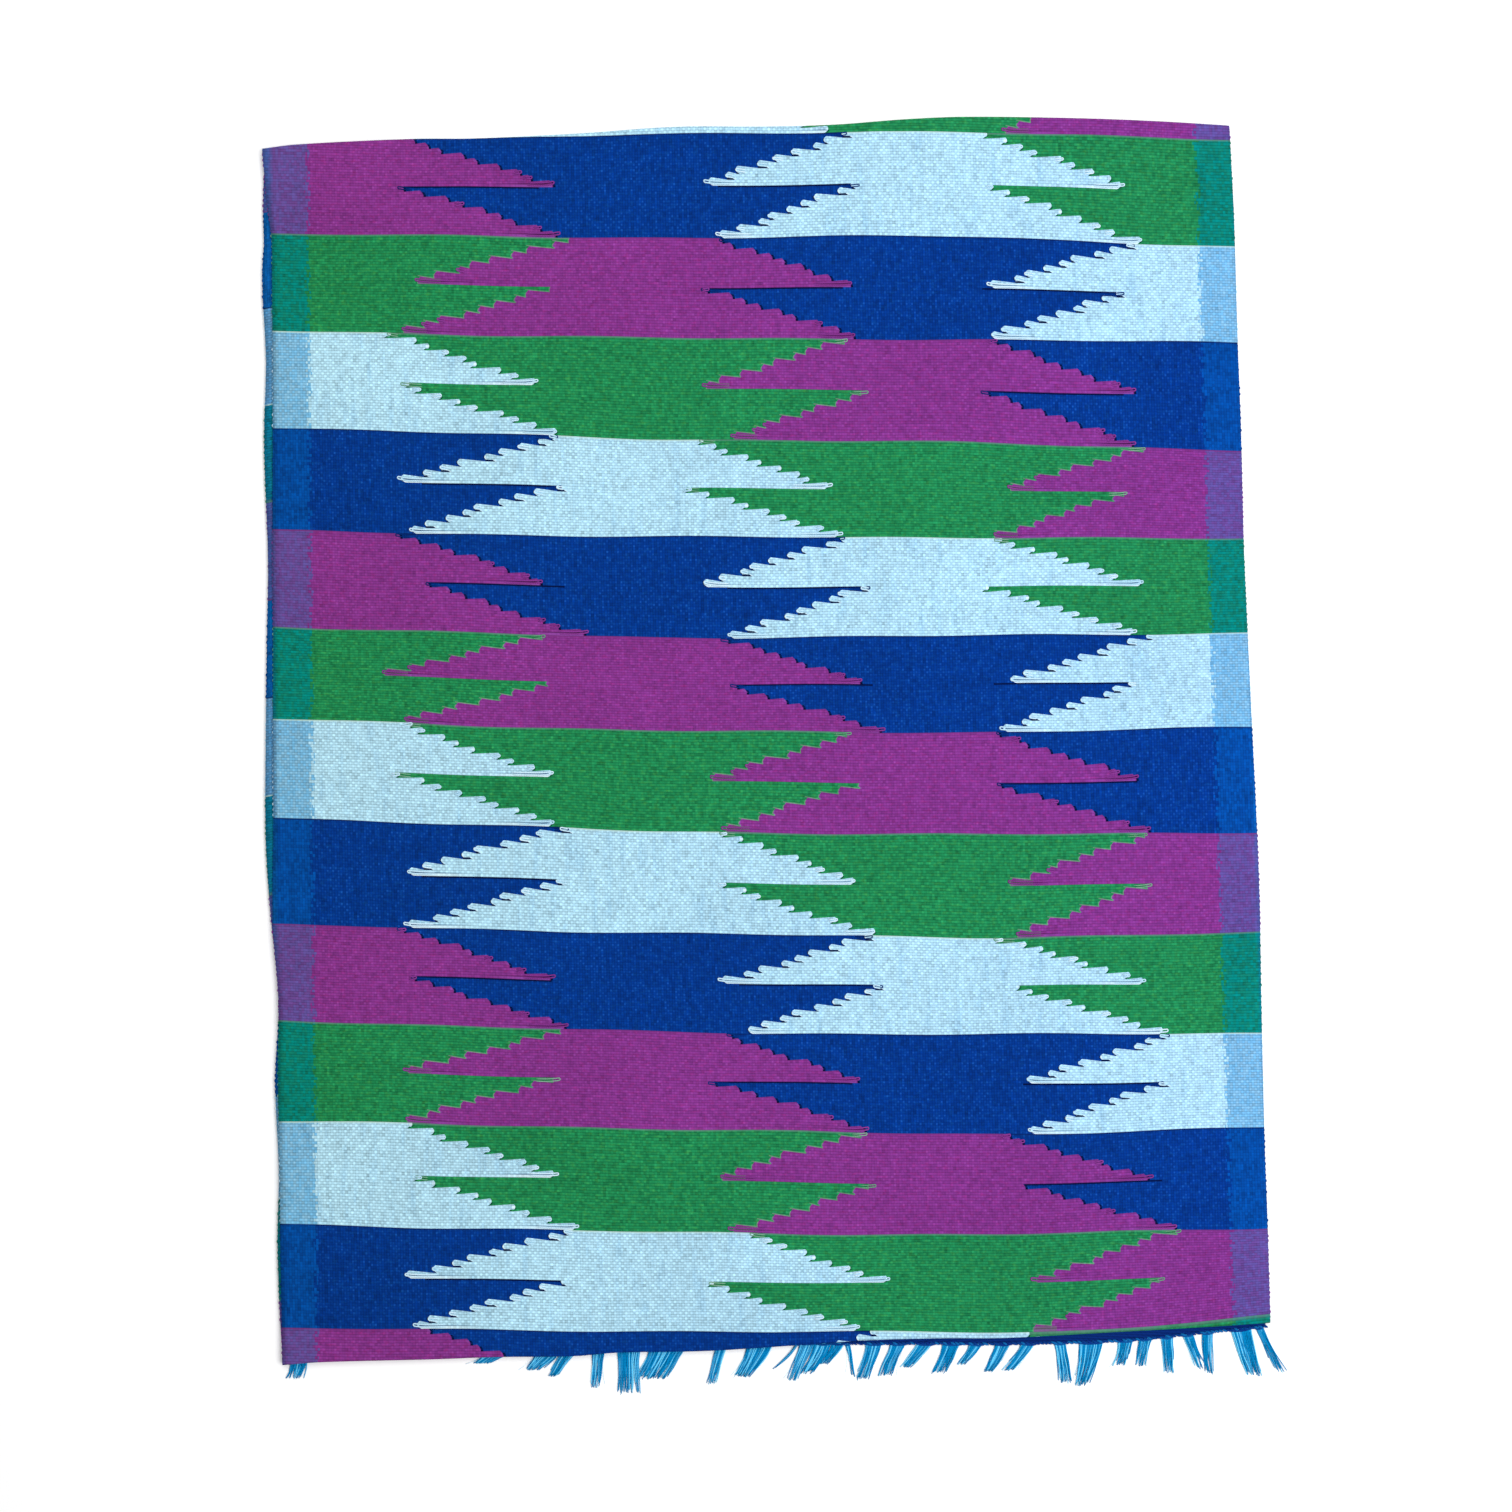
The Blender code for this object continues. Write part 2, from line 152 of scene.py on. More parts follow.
# Bunches of fringe, in mm: root, width there, lean of the tip, reach below the lower fold, and the
# tip's width as a share of the root's
BUNCHES = (
    # across, width, lean, reach, tip
    (-338.5, 13.0, -4.5, 14.5, 0.8),
    (-195.0, 18.0, -15.0, 7.0, 0.5),
    (-159.0, 18.0, -14.0, 12.5, 0.6),
    (-146.0, 11.0, -13.0, 17.5, 0.5),
    (-125.5, 9.0, -3.0, 26.0, 0.6),
    (-104.0, 16.5, -1.0, 30.5, 0.9),
    (-76.0, 27.0, -13.0, 21.0, 0.8),
    (-38.0, 8.0, -8.5, 25.5, 0.7),
    (-10.5, 19.0, -14.0, 21.0, 0.6),
    (16.5, 1.8, -20.0, 16.5, 0.8),
    (23.0, 10.0, -12.0, 24.5, 0.6),
    (34.0, 12.0, -13.0, 20.0, 0.7),
    (45.0, 8.5, -11.5, 13.5, 0.8),
    (51.0, 3.0, 3.0, 23.0, 0.7),
    (70.0, 11.0, -10.0, 25.0, 0.8),
    (87.5, 10.5, -10.5, 22.5, 0.9),
    (107.0, 11.0, -15.0, 17.0, 0.6),
    (125.5, 12.0, -10.5, 22.0, 0.9),
    (143.0, 9.0, -11.0, 16.0, 0.6),
    (162.0, 10.5, -12.0, 22.0, 0.5),
    (180.0, 9.5, -16.0, 21.0, 0.9),
    (202.0, 8.0, 3.5, 31.0, 1.2),
    (224.5, 17.0, -8.0, 33.0, 0.4),
    (249.0, 10.5, -5.0, 19.5, 0.8),
    (263.5, 9.0, -5.0, 20.0, 0.8),
    (278.5, 8.5, 1.5, 26.0, 0.9),
    (293.0, 7.0, 9.0, 23.5, 0.6),
    (307.5, 7.5, 0.5, 27.0, 0.7),
    (331.0, 14.5, 8.5, 29.0, 0.7),
    (343.8, 5.0, 15.0, 27.0, 1.7),
)
NECK = 0.3                    # a bunch is narrowest at this share of its length
NECK_WIDTH = 0.88             # a bunch's width at its neck, as a share of its root's
LEAN_CURVE = 1.25
YARN_SPACING = 0.42           # mm of a bunch's width for each of its yarns
FIBRE_SPACING = 4             # and for each of its stray fibres
LAYER_RISE = 0.36             # mm between the three layers of yarns in a bunch
LOOSE_TWIST = 0.0021
LOOSE_PALING = 5.0              # share by which a metre of hanging yarn would turn paler
FRINGE_TONES = (-0.6, -0.4, -0.2, 0.2, 0.8)
# Radii in mm along the lump at a bunch's root, and the twined row that shows below the fold
KNOT_RADII = (0.4, 0.85, 0.95, 0.9, 0.95, 0.8, 0.4)
TWINED = (0.052, 0.349)       # from here to here across
TWINED_TONES = (-0.3, 0.1, 0.7)
KNOT_SIDES = 6

# The weave. Lines between bands, in mm below TOP, at six places across
BAND_PLACES = (-295, -180, -70, 140, 225, 320)
BAND_LINES = (
    (-6.5, -2.9, -2.6, 0.0, 4.6, 9.3),
    (65.0, 69.3, 73.0, 77.0, 81.7, 88.0),
    (136.5, 141.5, 146.0, 152.3, 155.2, 158.5),
    (207.5, 213.9, 219.5, 227.0, 231.3, 236.5),
    (281.5, 286.3, 290.5, 295.8, 298.2, 301.0),
    (351.5, 358.0, 363.3, 367.0, 368.2, 369.5),
    (418.0, 424.5, 430.0, 436.4, 437.2, 437.5),
    (489.0, 496.1, 502.2, 509.5, 511.1, 512.5),
    (565.0, 570.2, 575.0, 583.0, 584.1, 584.5),
    (633.0, 639.6, 645.3, 652.0, 653.8, 655.5),
    (704.0, 709.0, 713.8, 722.7, 723.4, 723.0),
    (777.0, 782.3, 787.0, 793.5, 794.1, 794.0),
    (849.5, 853.2, 856.5, 862.0, 862.5, 856.9),
)
BAND = 0.0706                 # depth of a band
TURNED_SLACK = 0.085          # bands by which the turned layer falls short of an even count
STEPS = 9                     # stairs in half a band
PICKS = 2                     # picks in one stair
NAVY_END = -12.02             # the heading is plain navy past this band place

# Where the stairs between two colours start and end across the cloth, in mm for the three
# borders: the repeat is two bands, each of two halves
STAIRS = (
    # first stair, last stair
    ((-254, 66, 175), (-153, -33, 273)),
    ((-252, 76, 176), (-144, -18, 279)),
    ((-146, -25, 279), (-256, 66, 182)),
    ((-150, -30, 272), (-254, 74, 180)),
)
BORDER_SIGN = (1, -1, 1)
# Unevenness of the weaving: turn per stair or band, turn and reach in mm for each border
STEP_WANDER = (2.4, (0.7, 2.9, 4.4), (2.4, 2.2, 2.4))
STEP_FLUTTER = (5.3, (1.1, 3.7, 0.4), (1.6, 1.8, 1.6))
# and how far each half band is shifted, for the three borders over twelve bands, in shifts of 5 mm
SHIFT = 5
UNEVEN = (
    (2, 1, 0), (1, 0, 0), (3, 1, -1), (1, 0, -1),
    (-1, 0, 0), (0, 1, -1), (1, -3, 0), (1, -3, -1),
    (0, -1, 0), (3, 0, -2), (-2, 1, 0), (0, 2, -1),
    (0, 0, -1), (-1, -2, -1), (0, 0, -1), (1, 0, 0),
    (-1, 1, -1), (0, 1, 0), (0, -1, 1), (-1, -1, 1),
    (0, -1, -1), (0, -1, 1), (0, 2, 1), (0, -3, 1),
)
MOST_UNEVEN = 5               # no entry in that table is larger
HOOK_WANDER = (3.7, (0.2, 1.9, 3.3))
# The edge of one stair, in mm, for each weft that grows and its way: how far the edge leans out
# on the way down, how far the turn bulges, how far the other weft reaches in under it, and by
# which share of a stair the last picks lift towards the turn
EDGES = (
    # lean, bulge, reach, reach uneven by, lift
    (1.3, 0.5, 0.2, 0.9, 0.40),     # magenta, left
    (2.5, 0.5, -0.4, 1.0, 0.24),    # magenta, right
    (-0.9, 1.3, 2.4, 2.6, 0.42),    # white, left
    (-0.8, 1.1, 1.0, 1.6, 0.26),    # white, right
)
BULGE_CENTRE, BULGE_HALF = 0.3, 0.5   # in shares of a stair's depth
REACH_START = 0.66            # the other weft reaches in below this share of the depth
TONGUE = 0.098                # length of the tongue that a weft ends each half band with
WARP_SPACING = 0.00193
# Marks beside a turn: widths of the painted shadow's strokes and of the painted lit rim to the left
# and right, of the thin painted shadow outline, the white's reach over a slot, and lengths of the
# loose and the greyed picks
STROKE_WIDTHS = (0.0014, 0.0018)
RIM_WIDTHS = (0.0011, 0.0021)
OUTLINE_WIDTH = 0.0007
SLOT_OVERLAP = 0.0009
LOOSE_LENGTHS = (0.046, 0.030, 0.040)
GREYED_LENGTH = 0.016
# Lines where the margins start: place across at the top, and how far that moves by the bottom
LEFT_MARGIN = (-0.3185, -0.0065)
RIGHT_MARGIN = (0.3255, 0.0)
SELVEDGE = -0.0245            # past the margin's line by this much the warps crowd together

# How many of the turns stand clear of the cloth, for the weft that grows and its way, how many
# more in the two stairs before the last, and how many of the other weft's in the first
LOOPS_SHOWN = {("magenta", 1): 0.12, ("magenta", -1): 0.0, ("white", 1): 0.5, ("white", -1): 0.6}
LATE_SHOWN = 0.3
FIRST_SHOWN = 0.7
FOLD_CLEAR = 0.004            # none stands nearer to a fold than this
# The modelled turns, each from one length to another in mm: past the border to the tip, and back
# to the root; those of the last stair; the root of the other weft's
TIP, ROOT = (0.9, 2.2), (3.0, 6.0)
LAST_TIP, LAST_ROOT = (1.0, 5.0), (16.0, 28.0)
OTHER_ROOT = (6.0, 14.0)
HALF_GAP = (0.75, 0.95)       # half the way between the two picks of a turn
CURL = (0.7, 1.4)             # how far the tip lifts up the shawl
CURL_LENGTH = 0.012           # and over which length
SUNK = 0.9                    # the root lies in the cloth by this share of its radius
TURN_STEPS = 6
# The turns at the selvedges, in mm: how far they stand out, and where their ends lie in
SELVEDGE_REACH, SELVEDGE_ROOT = (0.25, 0.9), 0.5
SELVEDGE_RADIUS = 0.44        # as a share of the weft's thickness
TURNED_FROM, TURNED_TO = 0.03, 0.008    # the turned layer's turns keep clear of the folds by this

# The four wefts in the order in which they follow each other across and down
WEFTS = ("magenta", "blue", "white", "green")
WEFT_SHADES = {"magenta": "#93409A", "blue": "#021C50", "white": "#E4F1F8", "green": "#8BAF9C"}
WEFT_TWIST = 0.0016           # length of one turn of the yarn's plies

# The stage: the floor, the places and the width of its lights, and the camera over it, turned
# by degrees from straight down and from upright
FLOOR_HALF, FLOOR_HEIGHT = 12.0, -0.0001
KEY_LIGHT = (1.17, -0.43, 1.81)
FILL_LIGHT = (0.09, 1.34, 1.72)
LIGHT_SIZE = 1.8
CAMERA_TILT, CAMERA_ROLL = 2.3, 1.37
CAMERA_DISTANCE = 1.505
CAMERA_TARGET = (-0.0045, -0.00426, 0.0045)


def linear(code):
    """An sRGB hex colour as linear red, green and blue."""
    shares = [int(code[i:i + 2], 16) / 255 for i in (1, 3, 5)]
    return tuple(s / 12.92 if s <= 0.04045 else ((s + 0.055) / 1.055) ** 2.4 for s in shares)


def spread(start, stop, steps):
    return [start + (stop - start) * i / steps for i in range(steps + 1)]


def smooth(share):
    share = max(0.0, min(1.0, share))
    return share * share * (3 - 2 * share)


def on_curve(spots, values, place):
    """The value at a place on a smooth curve through some spots, held level past its ends."""
    if place <= spots[0]:
        return values[0]
    if place >= spots[-1]:
        return values[-1]
    last = len(spots) - 1
    here = bisect.bisect_right(spots, place) - 1

    def slope(i):
        before, after = max(i - 1, 0), min(i + 1, last)
        return (values[after] - values[before]) / (spots[after] - spots[before])

    span = spots[here + 1] - spots[here]
    t = (place - spots[here]) / span
    return ((2 * t**3 - 3 * t**2 + 1) * values[here] + (t**3 - 2 * t**2 + t) * span * slope(here)
            + (3 * t**2 - 2 * t**3) * values[here + 1] + (t**3 - t**2) * span * slope(here + 1))


def columns_of(rows):
    """A table in mm as one tuple of metres for each column."""
    return [tuple(value * MM for value in column) for column in zip(*rows)]


SIDE_CURVES = columns_of(SIDES)
END_CURVES = columns_of(ENDS)


def upper_fold(x):
    return TOP + on_curve(END_CURVES[0], END_CURVES[1], x)


def lower_fold(x):
    return BOTTOM - on_curve(END_CURVES[0], END_CURVES[2], x)


def end_line(x):
    return BOTTOM - on_curve(END_CURVES[0], END_CURVES[3], x)


def side(column, y):
    """How far out one of the edges stands at a height up the shawl."""
    return WIDTH / 2 + on_curve(SIDE_CURVES[0], SIDE_CURVES[column], TOP - y)


def front_span(x):
    """Where the flat of the front starts above the lower fold and ends below the upper one."""
    return (lower_fold(x) + CLOTH / 2 + LOWER_FOLD, upper_fold(x) - CLOTH / 2 - UPPER_FOLD)


def swell(x, y):
    """Height of the soft swells that the layers share, none at the edges."""
    total = 0.0
    for across, up, long, wide, degrees, high in SWELLS:
        turn = math.radians(degrees)
        dx, dy = x - across * MM, y - up * MM
        along = (dx * math.cos(turn) + dy * math.sin(turn)) / (long * MM)
        over = (dy * math.cos(turn) - dx * math.sin(turn)) / (wide * MM)
        total += high * MM * math.exp(-along**2 - over**2)
    room = min(WIDTH / 2 - abs(x), upper_fold(x) - y, y - lower_fold(x))
    return total * smooth(room / SWELL_FADE)


def ripple(x, y):
    """The front's own creases and the slight unevenness of cloth that has been folded away."""
    total = 0.16 * MM * (1 + math.sin(x / 0.031 + 2.1 * math.sin(y / 0.083)))
    total += 0.14 * MM * (1 + math.sin(y / 0.026 + 1.7 * math.sin(x / 0.061 + 0.8)))
    for x0, y0, x1, y1, wide, high in CREASES:
        run = Vector(((x1 - x0) * MM, (y1 - y0) * MM))
        away = Vector((x - x0 * MM, y - y0 * MM))
        share = away.dot(run) / run.length_squared
        off = abs(away.x * run.y - away.y * run.x) / run.length
        taper = smooth(share / 0.3) * smooth((1 - share) / 0.35) if y1 < 360 or y0 < 430 else (
            smooth((1 - share) / 0.6))
        total += high * MM * taper * math.exp(-(off / (wide * MM))**2)
    return total


def front_height(x, y):
    """Middle of the front layer's thickness."""
    low, high = front_span(x)
    lower_puff = (TURNED_LAYER + 2 * LOWER_FOLD - FRONT_LAYER) * math.exp(-(y - low) / PUFF_FADE)
    upper_puff = (FLOOR_LAYER + 2 * UPPER_FOLD - FRONT_LAYER) * math.exp(-(high - y) / PUFF_FADE)
    room = min(y - low, high - y)
    return (FRONT_LAYER + lower_puff + upper_puff + swell(x, y)
            + ripple(x, y) * smooth(room / RIPPLE_FADE))


def band_lines(x):
    """The lines between the bands at one place across, as distances below TOP."""
    spots = [place * MM for place in BAND_PLACES]
    lines = []
    for number, row in enumerate(BAND_LINES):
        values = [value * MM for value in row]
        line = on_curve(spots, values, x)
        if x < spots[0]:
            line += (x - spots[0]) * (values[1] - values[0]) / (spots[1] - spots[0])
        if x > spots[-1]:
            line += (x - spots[-1]) * (values[-1] - values[-2]) / (spots[-1] - spots[-2])
        line += 0.5 * MM * math.sin(x / 0.023 + 1.7 * number)
        line += 0.4 * MM * math.sin(x / 0.051 + 2.9 * number)
        lines.append(line)
    return lines


def band_place(x, y):
    """How many bands down the front a point lies, counted from the first line."""
    below, lines = TOP - y, band_lines(x)
    if below <= lines[0]:
        return (below - lines[0]) / BAND
    if below >= lines[-1]:
        return len(lines) - 1 + (below - lines[-1]) / BAND
    here = bisect.bisect_right(lines, below) - 1
    return here + (below - lines[here]) / (lines[here + 1] - lines[here])


def up_the_front(x, place):
    """The height up the shawl of a band place, the other way round."""
    lines = band_lines(x)
    last = len(lines) - 1
    if place <= 0:
        return TOP - lines[0] - place * BAND
    if place >= last:
        return TOP - lines[last] - (place - last) * BAND
    here = int(place)
    return TOP - lines[here] - (place - here) * (lines[here + 1] - lines[here])


def turned_place(at_low, low, y):
    """The band place up the turned layer, which the weaver beat a little closer."""
    return at_low + (math.pi * LOWER_FOLD + y - low) / BAND - TURNED_SLACK * smooth((y - low) / 0.3)


def cloth_stations(x, share):
    """Points along the whole cloth at one share of its width, with their places in the weave."""
    low, high = front_span(x)
    stations = []

    def add(y, z, column, hidden, place=None):
        left = side(1, y) * (1 - hidden) + side(column, y) * hidden
        right = side(4, y) * (1 - hidden) + side(5, y) * hidden
        across = -left + (left + right) * share
        if place is None:
            place = band_place(across, y)
        fall = (TOP - y) / (TOP - BOTTOM)
        margin = min(across - LEFT_MARGIN[0] - LEFT_MARGIN[1] * fall,
                     RIGHT_MARGIN[0] + RIGHT_MARGIN[1] * fall - across)
        stations.append((Vector((across, y, z)), Vector((across, place, margin))))

    turned_stop = upper_fold(x) - CLOTH - TURNED_END
    at_low = band_place(x, low)
    at_high = band_place(x, high)
    for part in spread(1.0, 0.0, HIDDEN_ROWS)[:-1]:
        y = low + (turned_stop - low) * part
        add(y, TURNED_LAYER + swell(x, y), 2, smooth((y - low) / EDGE_SETTLE),
            turned_place(at_low, low, y))
    for angle in spread(-math.pi / 2, math.pi / 2, FOLD_STEPS):
        add(low - LOWER_FOLD * math.cos(angle), TURNED_LAYER + LOWER_FOLD * (1 + math.sin(angle)),
            2, 0.0, at_low + LOWER_FOLD * (math.pi / 2 - angle) / BAND)
    for part in (*CLOSE_ROWS, *spread(FIRST_ROW, 1 - FIRST_ROW, FRONT_ROWS),
                 *(1 - share_up for share_up in reversed(CLOSE_ROWS))):
        y = low + (high - low) * part
        add(y, front_height(x, y), 2, 0.0)
    for angle in spread(math.pi / 2, -math.pi / 2, FOLD_STEPS):
        add(high + UPPER_FOLD * math.cos(angle), FLOOR_LAYER + UPPER_FOLD * (1 + math.sin(angle)),
            3, 0.0, at_high - UPPER_FOLD * (math.pi / 2 - angle) / BAND)
    bottom = end_line(x)
    for part in spread(1.0, 0.0, HIDDEN_ROWS)[1:]:
        y = bottom + (high - bottom) * part
        add(y, FLOOR_LAYER, 3, smooth((high - y) / EDGE_SETTLE),
            at_high - (math.pi * UPPER_FOLD + high - y) / BAND)
    return stations


def mesh_object(name, points, faces, material):
    """A smooth object of points and faces, moved from the shawl's own middle to the frame's."""
    mesh = bpy.data.meshes.new(name)
    mesh.from_pydata([tuple(point) for point in points], [], faces)
    mesh.transform(Matrix.Translation(PLACE))
    mesh.shade_smooth()
    mesh.materials.append(material)
    built = bpy.data.objects.new(name, mesh)
    bpy.context.scene.collection.objects.link(built)
    return built


class Yarns:
    """Tubes of yarn gathered into one mesh, with the way round and along each of them."""

    def __init__(self):
        self.points, self.faces, self.corners = [], [], []

    def add(self, path, radii, sides, tone):
        count = len(path)
        first = len(self.points)
        along = 0.0
        runs = []
        for i, point in enumerate(path):
            if i:
                along += (point - path[i - 1]).length
            runs.append(along)
            tangent = (path[min(i + 1, count - 1)] - path[max(i - 1, 0)]).normalized()
            level = tangent.cross(Vector((0, 0, 1)))
            level = level.normalized() if level.length > 1e-6 else Vector((1, 0, 0))
            upright = level.cross(tangent)
            for k in range(sides):
                angle = 2 * math.pi * k / sides
                self.points.append(point + (level * math.cos(angle) + upright * math.sin(angle))
                                   * radii[i])
        for i in range(count - 1):
            for k in range(sides):
                here, there = first + i * sides, first + (i + 1) * sides
                n = (k + 1) % sides
                self.faces.append((here + k, here + n, there + n, there + k))
                near, far = runs[i], runs[i + 1]
                self.corners += [(turn / sides, run, tone) for turn, run in
                                 ((k, near), (k + 1, near), (k + 1, far), (k, far))]
        for i, ring in ((0, range(sides - 1, -1, -1)), (count - 1, range(sides))):
            self.faces.append(tuple(first + i * sides + k for k in ring))
            self.corners += [(k / sides, runs[i], tone) for k in ring]

    def build(self, name, material):
        built = mesh_object(name, self.points, self.faces, material)
        strand = built.data.attributes.new("yarn_place", "FLOAT_VECTOR", "CORNER")
        strand.data.foreach_set("vector", [value for corner in self.corners for value in corner])
        return built


def wander(rule, number, border):
    """One of the uneven shifts of the stairs, the same as in the cloth's material."""
    turn, turns, reaches = rule
    return reaches[border] * MM * math.sin(number * turn + turns[border])


def stair(border, number):
    """Where a border stands at one stair, and which way the upper colour grows there."""
    row, step = number // (2 * STEPS), number % STEPS
    odd = row % 2
    half = number // STEPS % 2
    first, last = STAIRS[2 * odd + half]
    x = (first[border] + (last[border] - first[border]) * step / (STEPS - 1)) * MM
    x += wander(STEP_WANDER, number, border) + wander(STEP_FLUTTER, number, border)
    x += UNEVEN[number // STEPS % len(UNEVEN)][border] * SHIFT * MM
    return x, (1 - 2 * odd) * BORDER_SIGN[border]


def weft_at(zone, row):
    return WEFTS[(zone - row) % 4]


def hairpin(x_tip, x_root, number, radius, lift, draw):
    """A weft's path out along one pick, round its turn and back along the next, on the cloth."""
    way = 1 if x_tip > x_root else -1
    half_gap = draw.uniform(*HALF_GAP) * MM
    reach = abs(x_tip - x_root)
    count = max(3, round(reach / 0.004))
    middle = (number + 0.5) / (2 * STEPS)
    curl = draw.uniform(*CURL) * MM
    sunk = radius * SUNK
    path = []

    def put(x, off, rise):
        out = max(0.0, 1 - abs(x_tip - x) / CURL_LENGTH)
        y = up_the_front(x, middle) + off + curl * out * out
        path.append(Vector((x, y, front_height(x, y) + CLOTH / 2 + rise)))

    for share in spread(0.0, 1.0, count)[:-1]:
        rise = -sunk + (sunk + lift) * smooth(share / 0.35)
        put(x_root + way * (reach - half_gap) * share, half_gap, rise)
    for angle in spread(math.pi / 2, -math.pi / 2, TURN_STEPS):
        put(x_tip - way * half_gap * (1 - math.cos(angle)), half_gap * math.sin(angle), lift)
    for share in spread(1.0, 0.0, count)[1:]:
        rise = -sunk + (sunk + lift) * smooth(share / 0.3)
        put(x_root + way * (reach - half_gap) * share, -half_gap, rise)
    return path


MODES = {"Math": "operation", "VectorMath": "operation", "Mix": "data_type"}


def feed(socket, source):
    """Feed a socket from a node, from another socket or by a value."""
    if isinstance(source, bpy.types.Node):
        source = next(s for s in source.outputs if s.enabled)
    if isinstance(source, bpy.types.NodeSocket):
        socket.id_data.links.new(source, socket)
    elif source is not None:
        if socket.type == "VECTOR" and isinstance(source, (int, float)):
            source = (source,) * 3
        elif socket.type == "RGBA":
            source = (*source, 1.0)
        socket.default_value = source


def add_node(tree, kind, *sources, **settings):
    """Add a node of one kind, in its mode, with its settings; feed its open inputs in order."""
    kind, _, mode = kind.partition(" ")
    node = tree.nodes.new("ShaderNode" + kind)
    if mode:
        setattr(node, MODES[kind], mode)
    for name, value in settings.items():
        setattr(node, name, value)
    for socket, source in zip([s for s in node.inputs if s.enabled], sources):
        feed(socket, source)
    return node


def new_material(name, roughness):
    """A material, the inputs of its Principled shader with cotton's IOR, and its node adder."""
    material = bpy.data.materials.new(name)
    material.use_nodes = True
    inputs = material.node_tree.nodes["Principled BSDF"].inputs
    finish = {"Roughness": roughness, "Metallic": 0.0, "IOR": 1.53, "Specular IOR Level": 0.05,
              "Sheen Weight": 0.0, "Sheen Roughness": 0.5}
    for socket, value in finish.items():
        inputs[socket].default_value = value
    return material, inputs, functools.partial(add_node, material.node_tree)


def woven_cotton(sizes, colours):
    """Handwoven cotton: thick wefts beaten down over thin turquoise warps. The eye sees broad
    bands of colour with fine ribs across, specks of warp in rows, and stairs where wefts meet."""
    material, inputs, add = new_material("handwoven_cotton_cloth", 0.92)

    def chain(value, *steps):
        """Lead a value through one node after another."""
        for kind, *others in steps:
            value = add(kind, value, *others)
        return value

    def over(vector):
        """One where a part of the vector is above nothing, or else none."""
        return chain(vector, ("VectorMath SIGN",), ("VectorMath MULTIPLY_ADD", 0.5, 0.5))

    def above(vector, limit):
        """One where a part of the vector is above that of the limit, or else none."""
        return over(add("VectorMath SUBTRACT", vector, limit))

    def rest(vector):
        """What each part of the vector leaves of one."""
        return add("VectorMath SUBTRACT", 1.0, vector)

    def times(first, *more):
        return chain(first, *(("VectorMath MULTIPLY", factor) for factor in more))

    def total(vector, *factors):
        """The three parts of a vector as one amount."""
        return chain(vector, ("VectorMath DOT_PRODUCT", 1.0),
                     *(("Math MULTIPLY", factor) for factor in factors))

    def blend(factors, first, second):
        """Mix two vectors part by part."""
        return add("Mix VECTOR", factors, first, second, factor_mode="NON_UNIFORM")

    place = add("Attribute", attribute_name="cloth_place", attribute_type="GEOMETRY")
    across, down, margin = add("SeparateXYZ", place.outputs["Vector"]).outputs

    # Counting bands, halves and stairs, and the depth inside one stair
    stairs = add("Math MULTIPLY", down, 2 * STEPS)
    number = add("Math FLOOR", stairs)
    depth = add("Math FRACT", stairs)
    row = add("Math FLOOR", down)
    odd = add("Math FLOORED_MODULO", row, 2.0)
    step = add("Math FLOORED_MODULO", number, STEPS)
    last_stair = add("Math GREATER_THAN", step, STEPS - 1.5)
    first_stair = add("Math LESS_THAN", step, 0.5)
    inside = add("Math FRACT", down)
    half = add("Math GREATER_THAN", inside, 0.5)

    # The three borders at once, as a vector, from the charted repeat; and the next stair's
    ends = []
    for end in (0, 1):
        chart = [[value * MM for value in STAIRS[i][end]] for i in range(4)]
        even = add("Mix VECTOR", half, chart[0], chart[1])
        uneven = add("Mix VECTOR", half, chart[2], chart[3])
        ends.append(add("Mix VECTOR", odd, even, uneven))
    # The weaver's own shift of each half band, held in a ramp of plain steps
    halves = chain(down, ("Math MULTIPLY", 2.0), ("Math FLOOR",),
                   ("Math FLOORED_MODULO", len(UNEVEN)), ("Math ADD", 0.5),
                   ("Math MULTIPLY", 1 / len(UNEVEN)))
    shifts = add("ValToRGB", halves)
    shifts.color_ramp.interpolation = "CONSTANT"
    stops = shifts.color_ramp.elements
    for count, row_of in enumerate(UNEVEN):
        stop = stops[0] if count == 0 else stops.new(count / len(UNEVEN))
        stop.color = (*(0.5 + shift / (2 * MOST_UNEVEN) for shift in row_of), 1.0)
    stops.remove(stops[len(UNEVEN)])
    shift = chain(shifts.outputs["Color"], ("VectorMath ADD", -0.5),
                  ("VectorMath MULTIPLY", 2 * MOST_UNEVEN * SHIFT * MM))
    borders = []
    for later in (0, 1):
        share = chain(step, ("Math ADD", later), ("Math DIVIDE", STEPS - 1))
        border = add("VectorMath ADD", shift, add("Mix VECTOR", share, *ends))
        counted = add("Math ADD", number, later)
        for turn, turns, reaches in (STEP_WANDER, STEP_FLUTTER):
            wave = chain(counted, ("VectorMath MULTIPLY_ADD", turn, turns), ("VectorMath SINE",))
            border = add("VectorMath MULTIPLY_ADD", wave, [r * MM for r in reaches], border)
        borders.append(border)
    border, next_border = borders
    growth = add("VectorMath MULTIPLY_ADD", odd, [-2 * s for s in BORDER_SIGN], BORDER_SIGN)
    to_right = add("VectorMath MULTIPLY_ADD", growth, 0.5, 0.5)
    to_left = rest(to_right)
    flat_gap = chain(across, ("VectorMath SUBTRACT", border), ("VectorMath MULTIPLY", growth))
    tread = chain(next_border, ("VectorMath SUBTRACT", border), ("VectorMath MULTIPLY", growth))

    # Which weft grows at each border: white where the left one of the pair is blue or white
    pair = chain((0.0, 1.0, 2.0), ("VectorMath SUBTRACT", row), ("VectorMath WRAP", 4.0, 0.0),
                 ("VectorMath SUBTRACT", 1.5), ("VectorMath ABSOLUTE",))
    white = above(1.0, pair)
    magenta = rest(white)

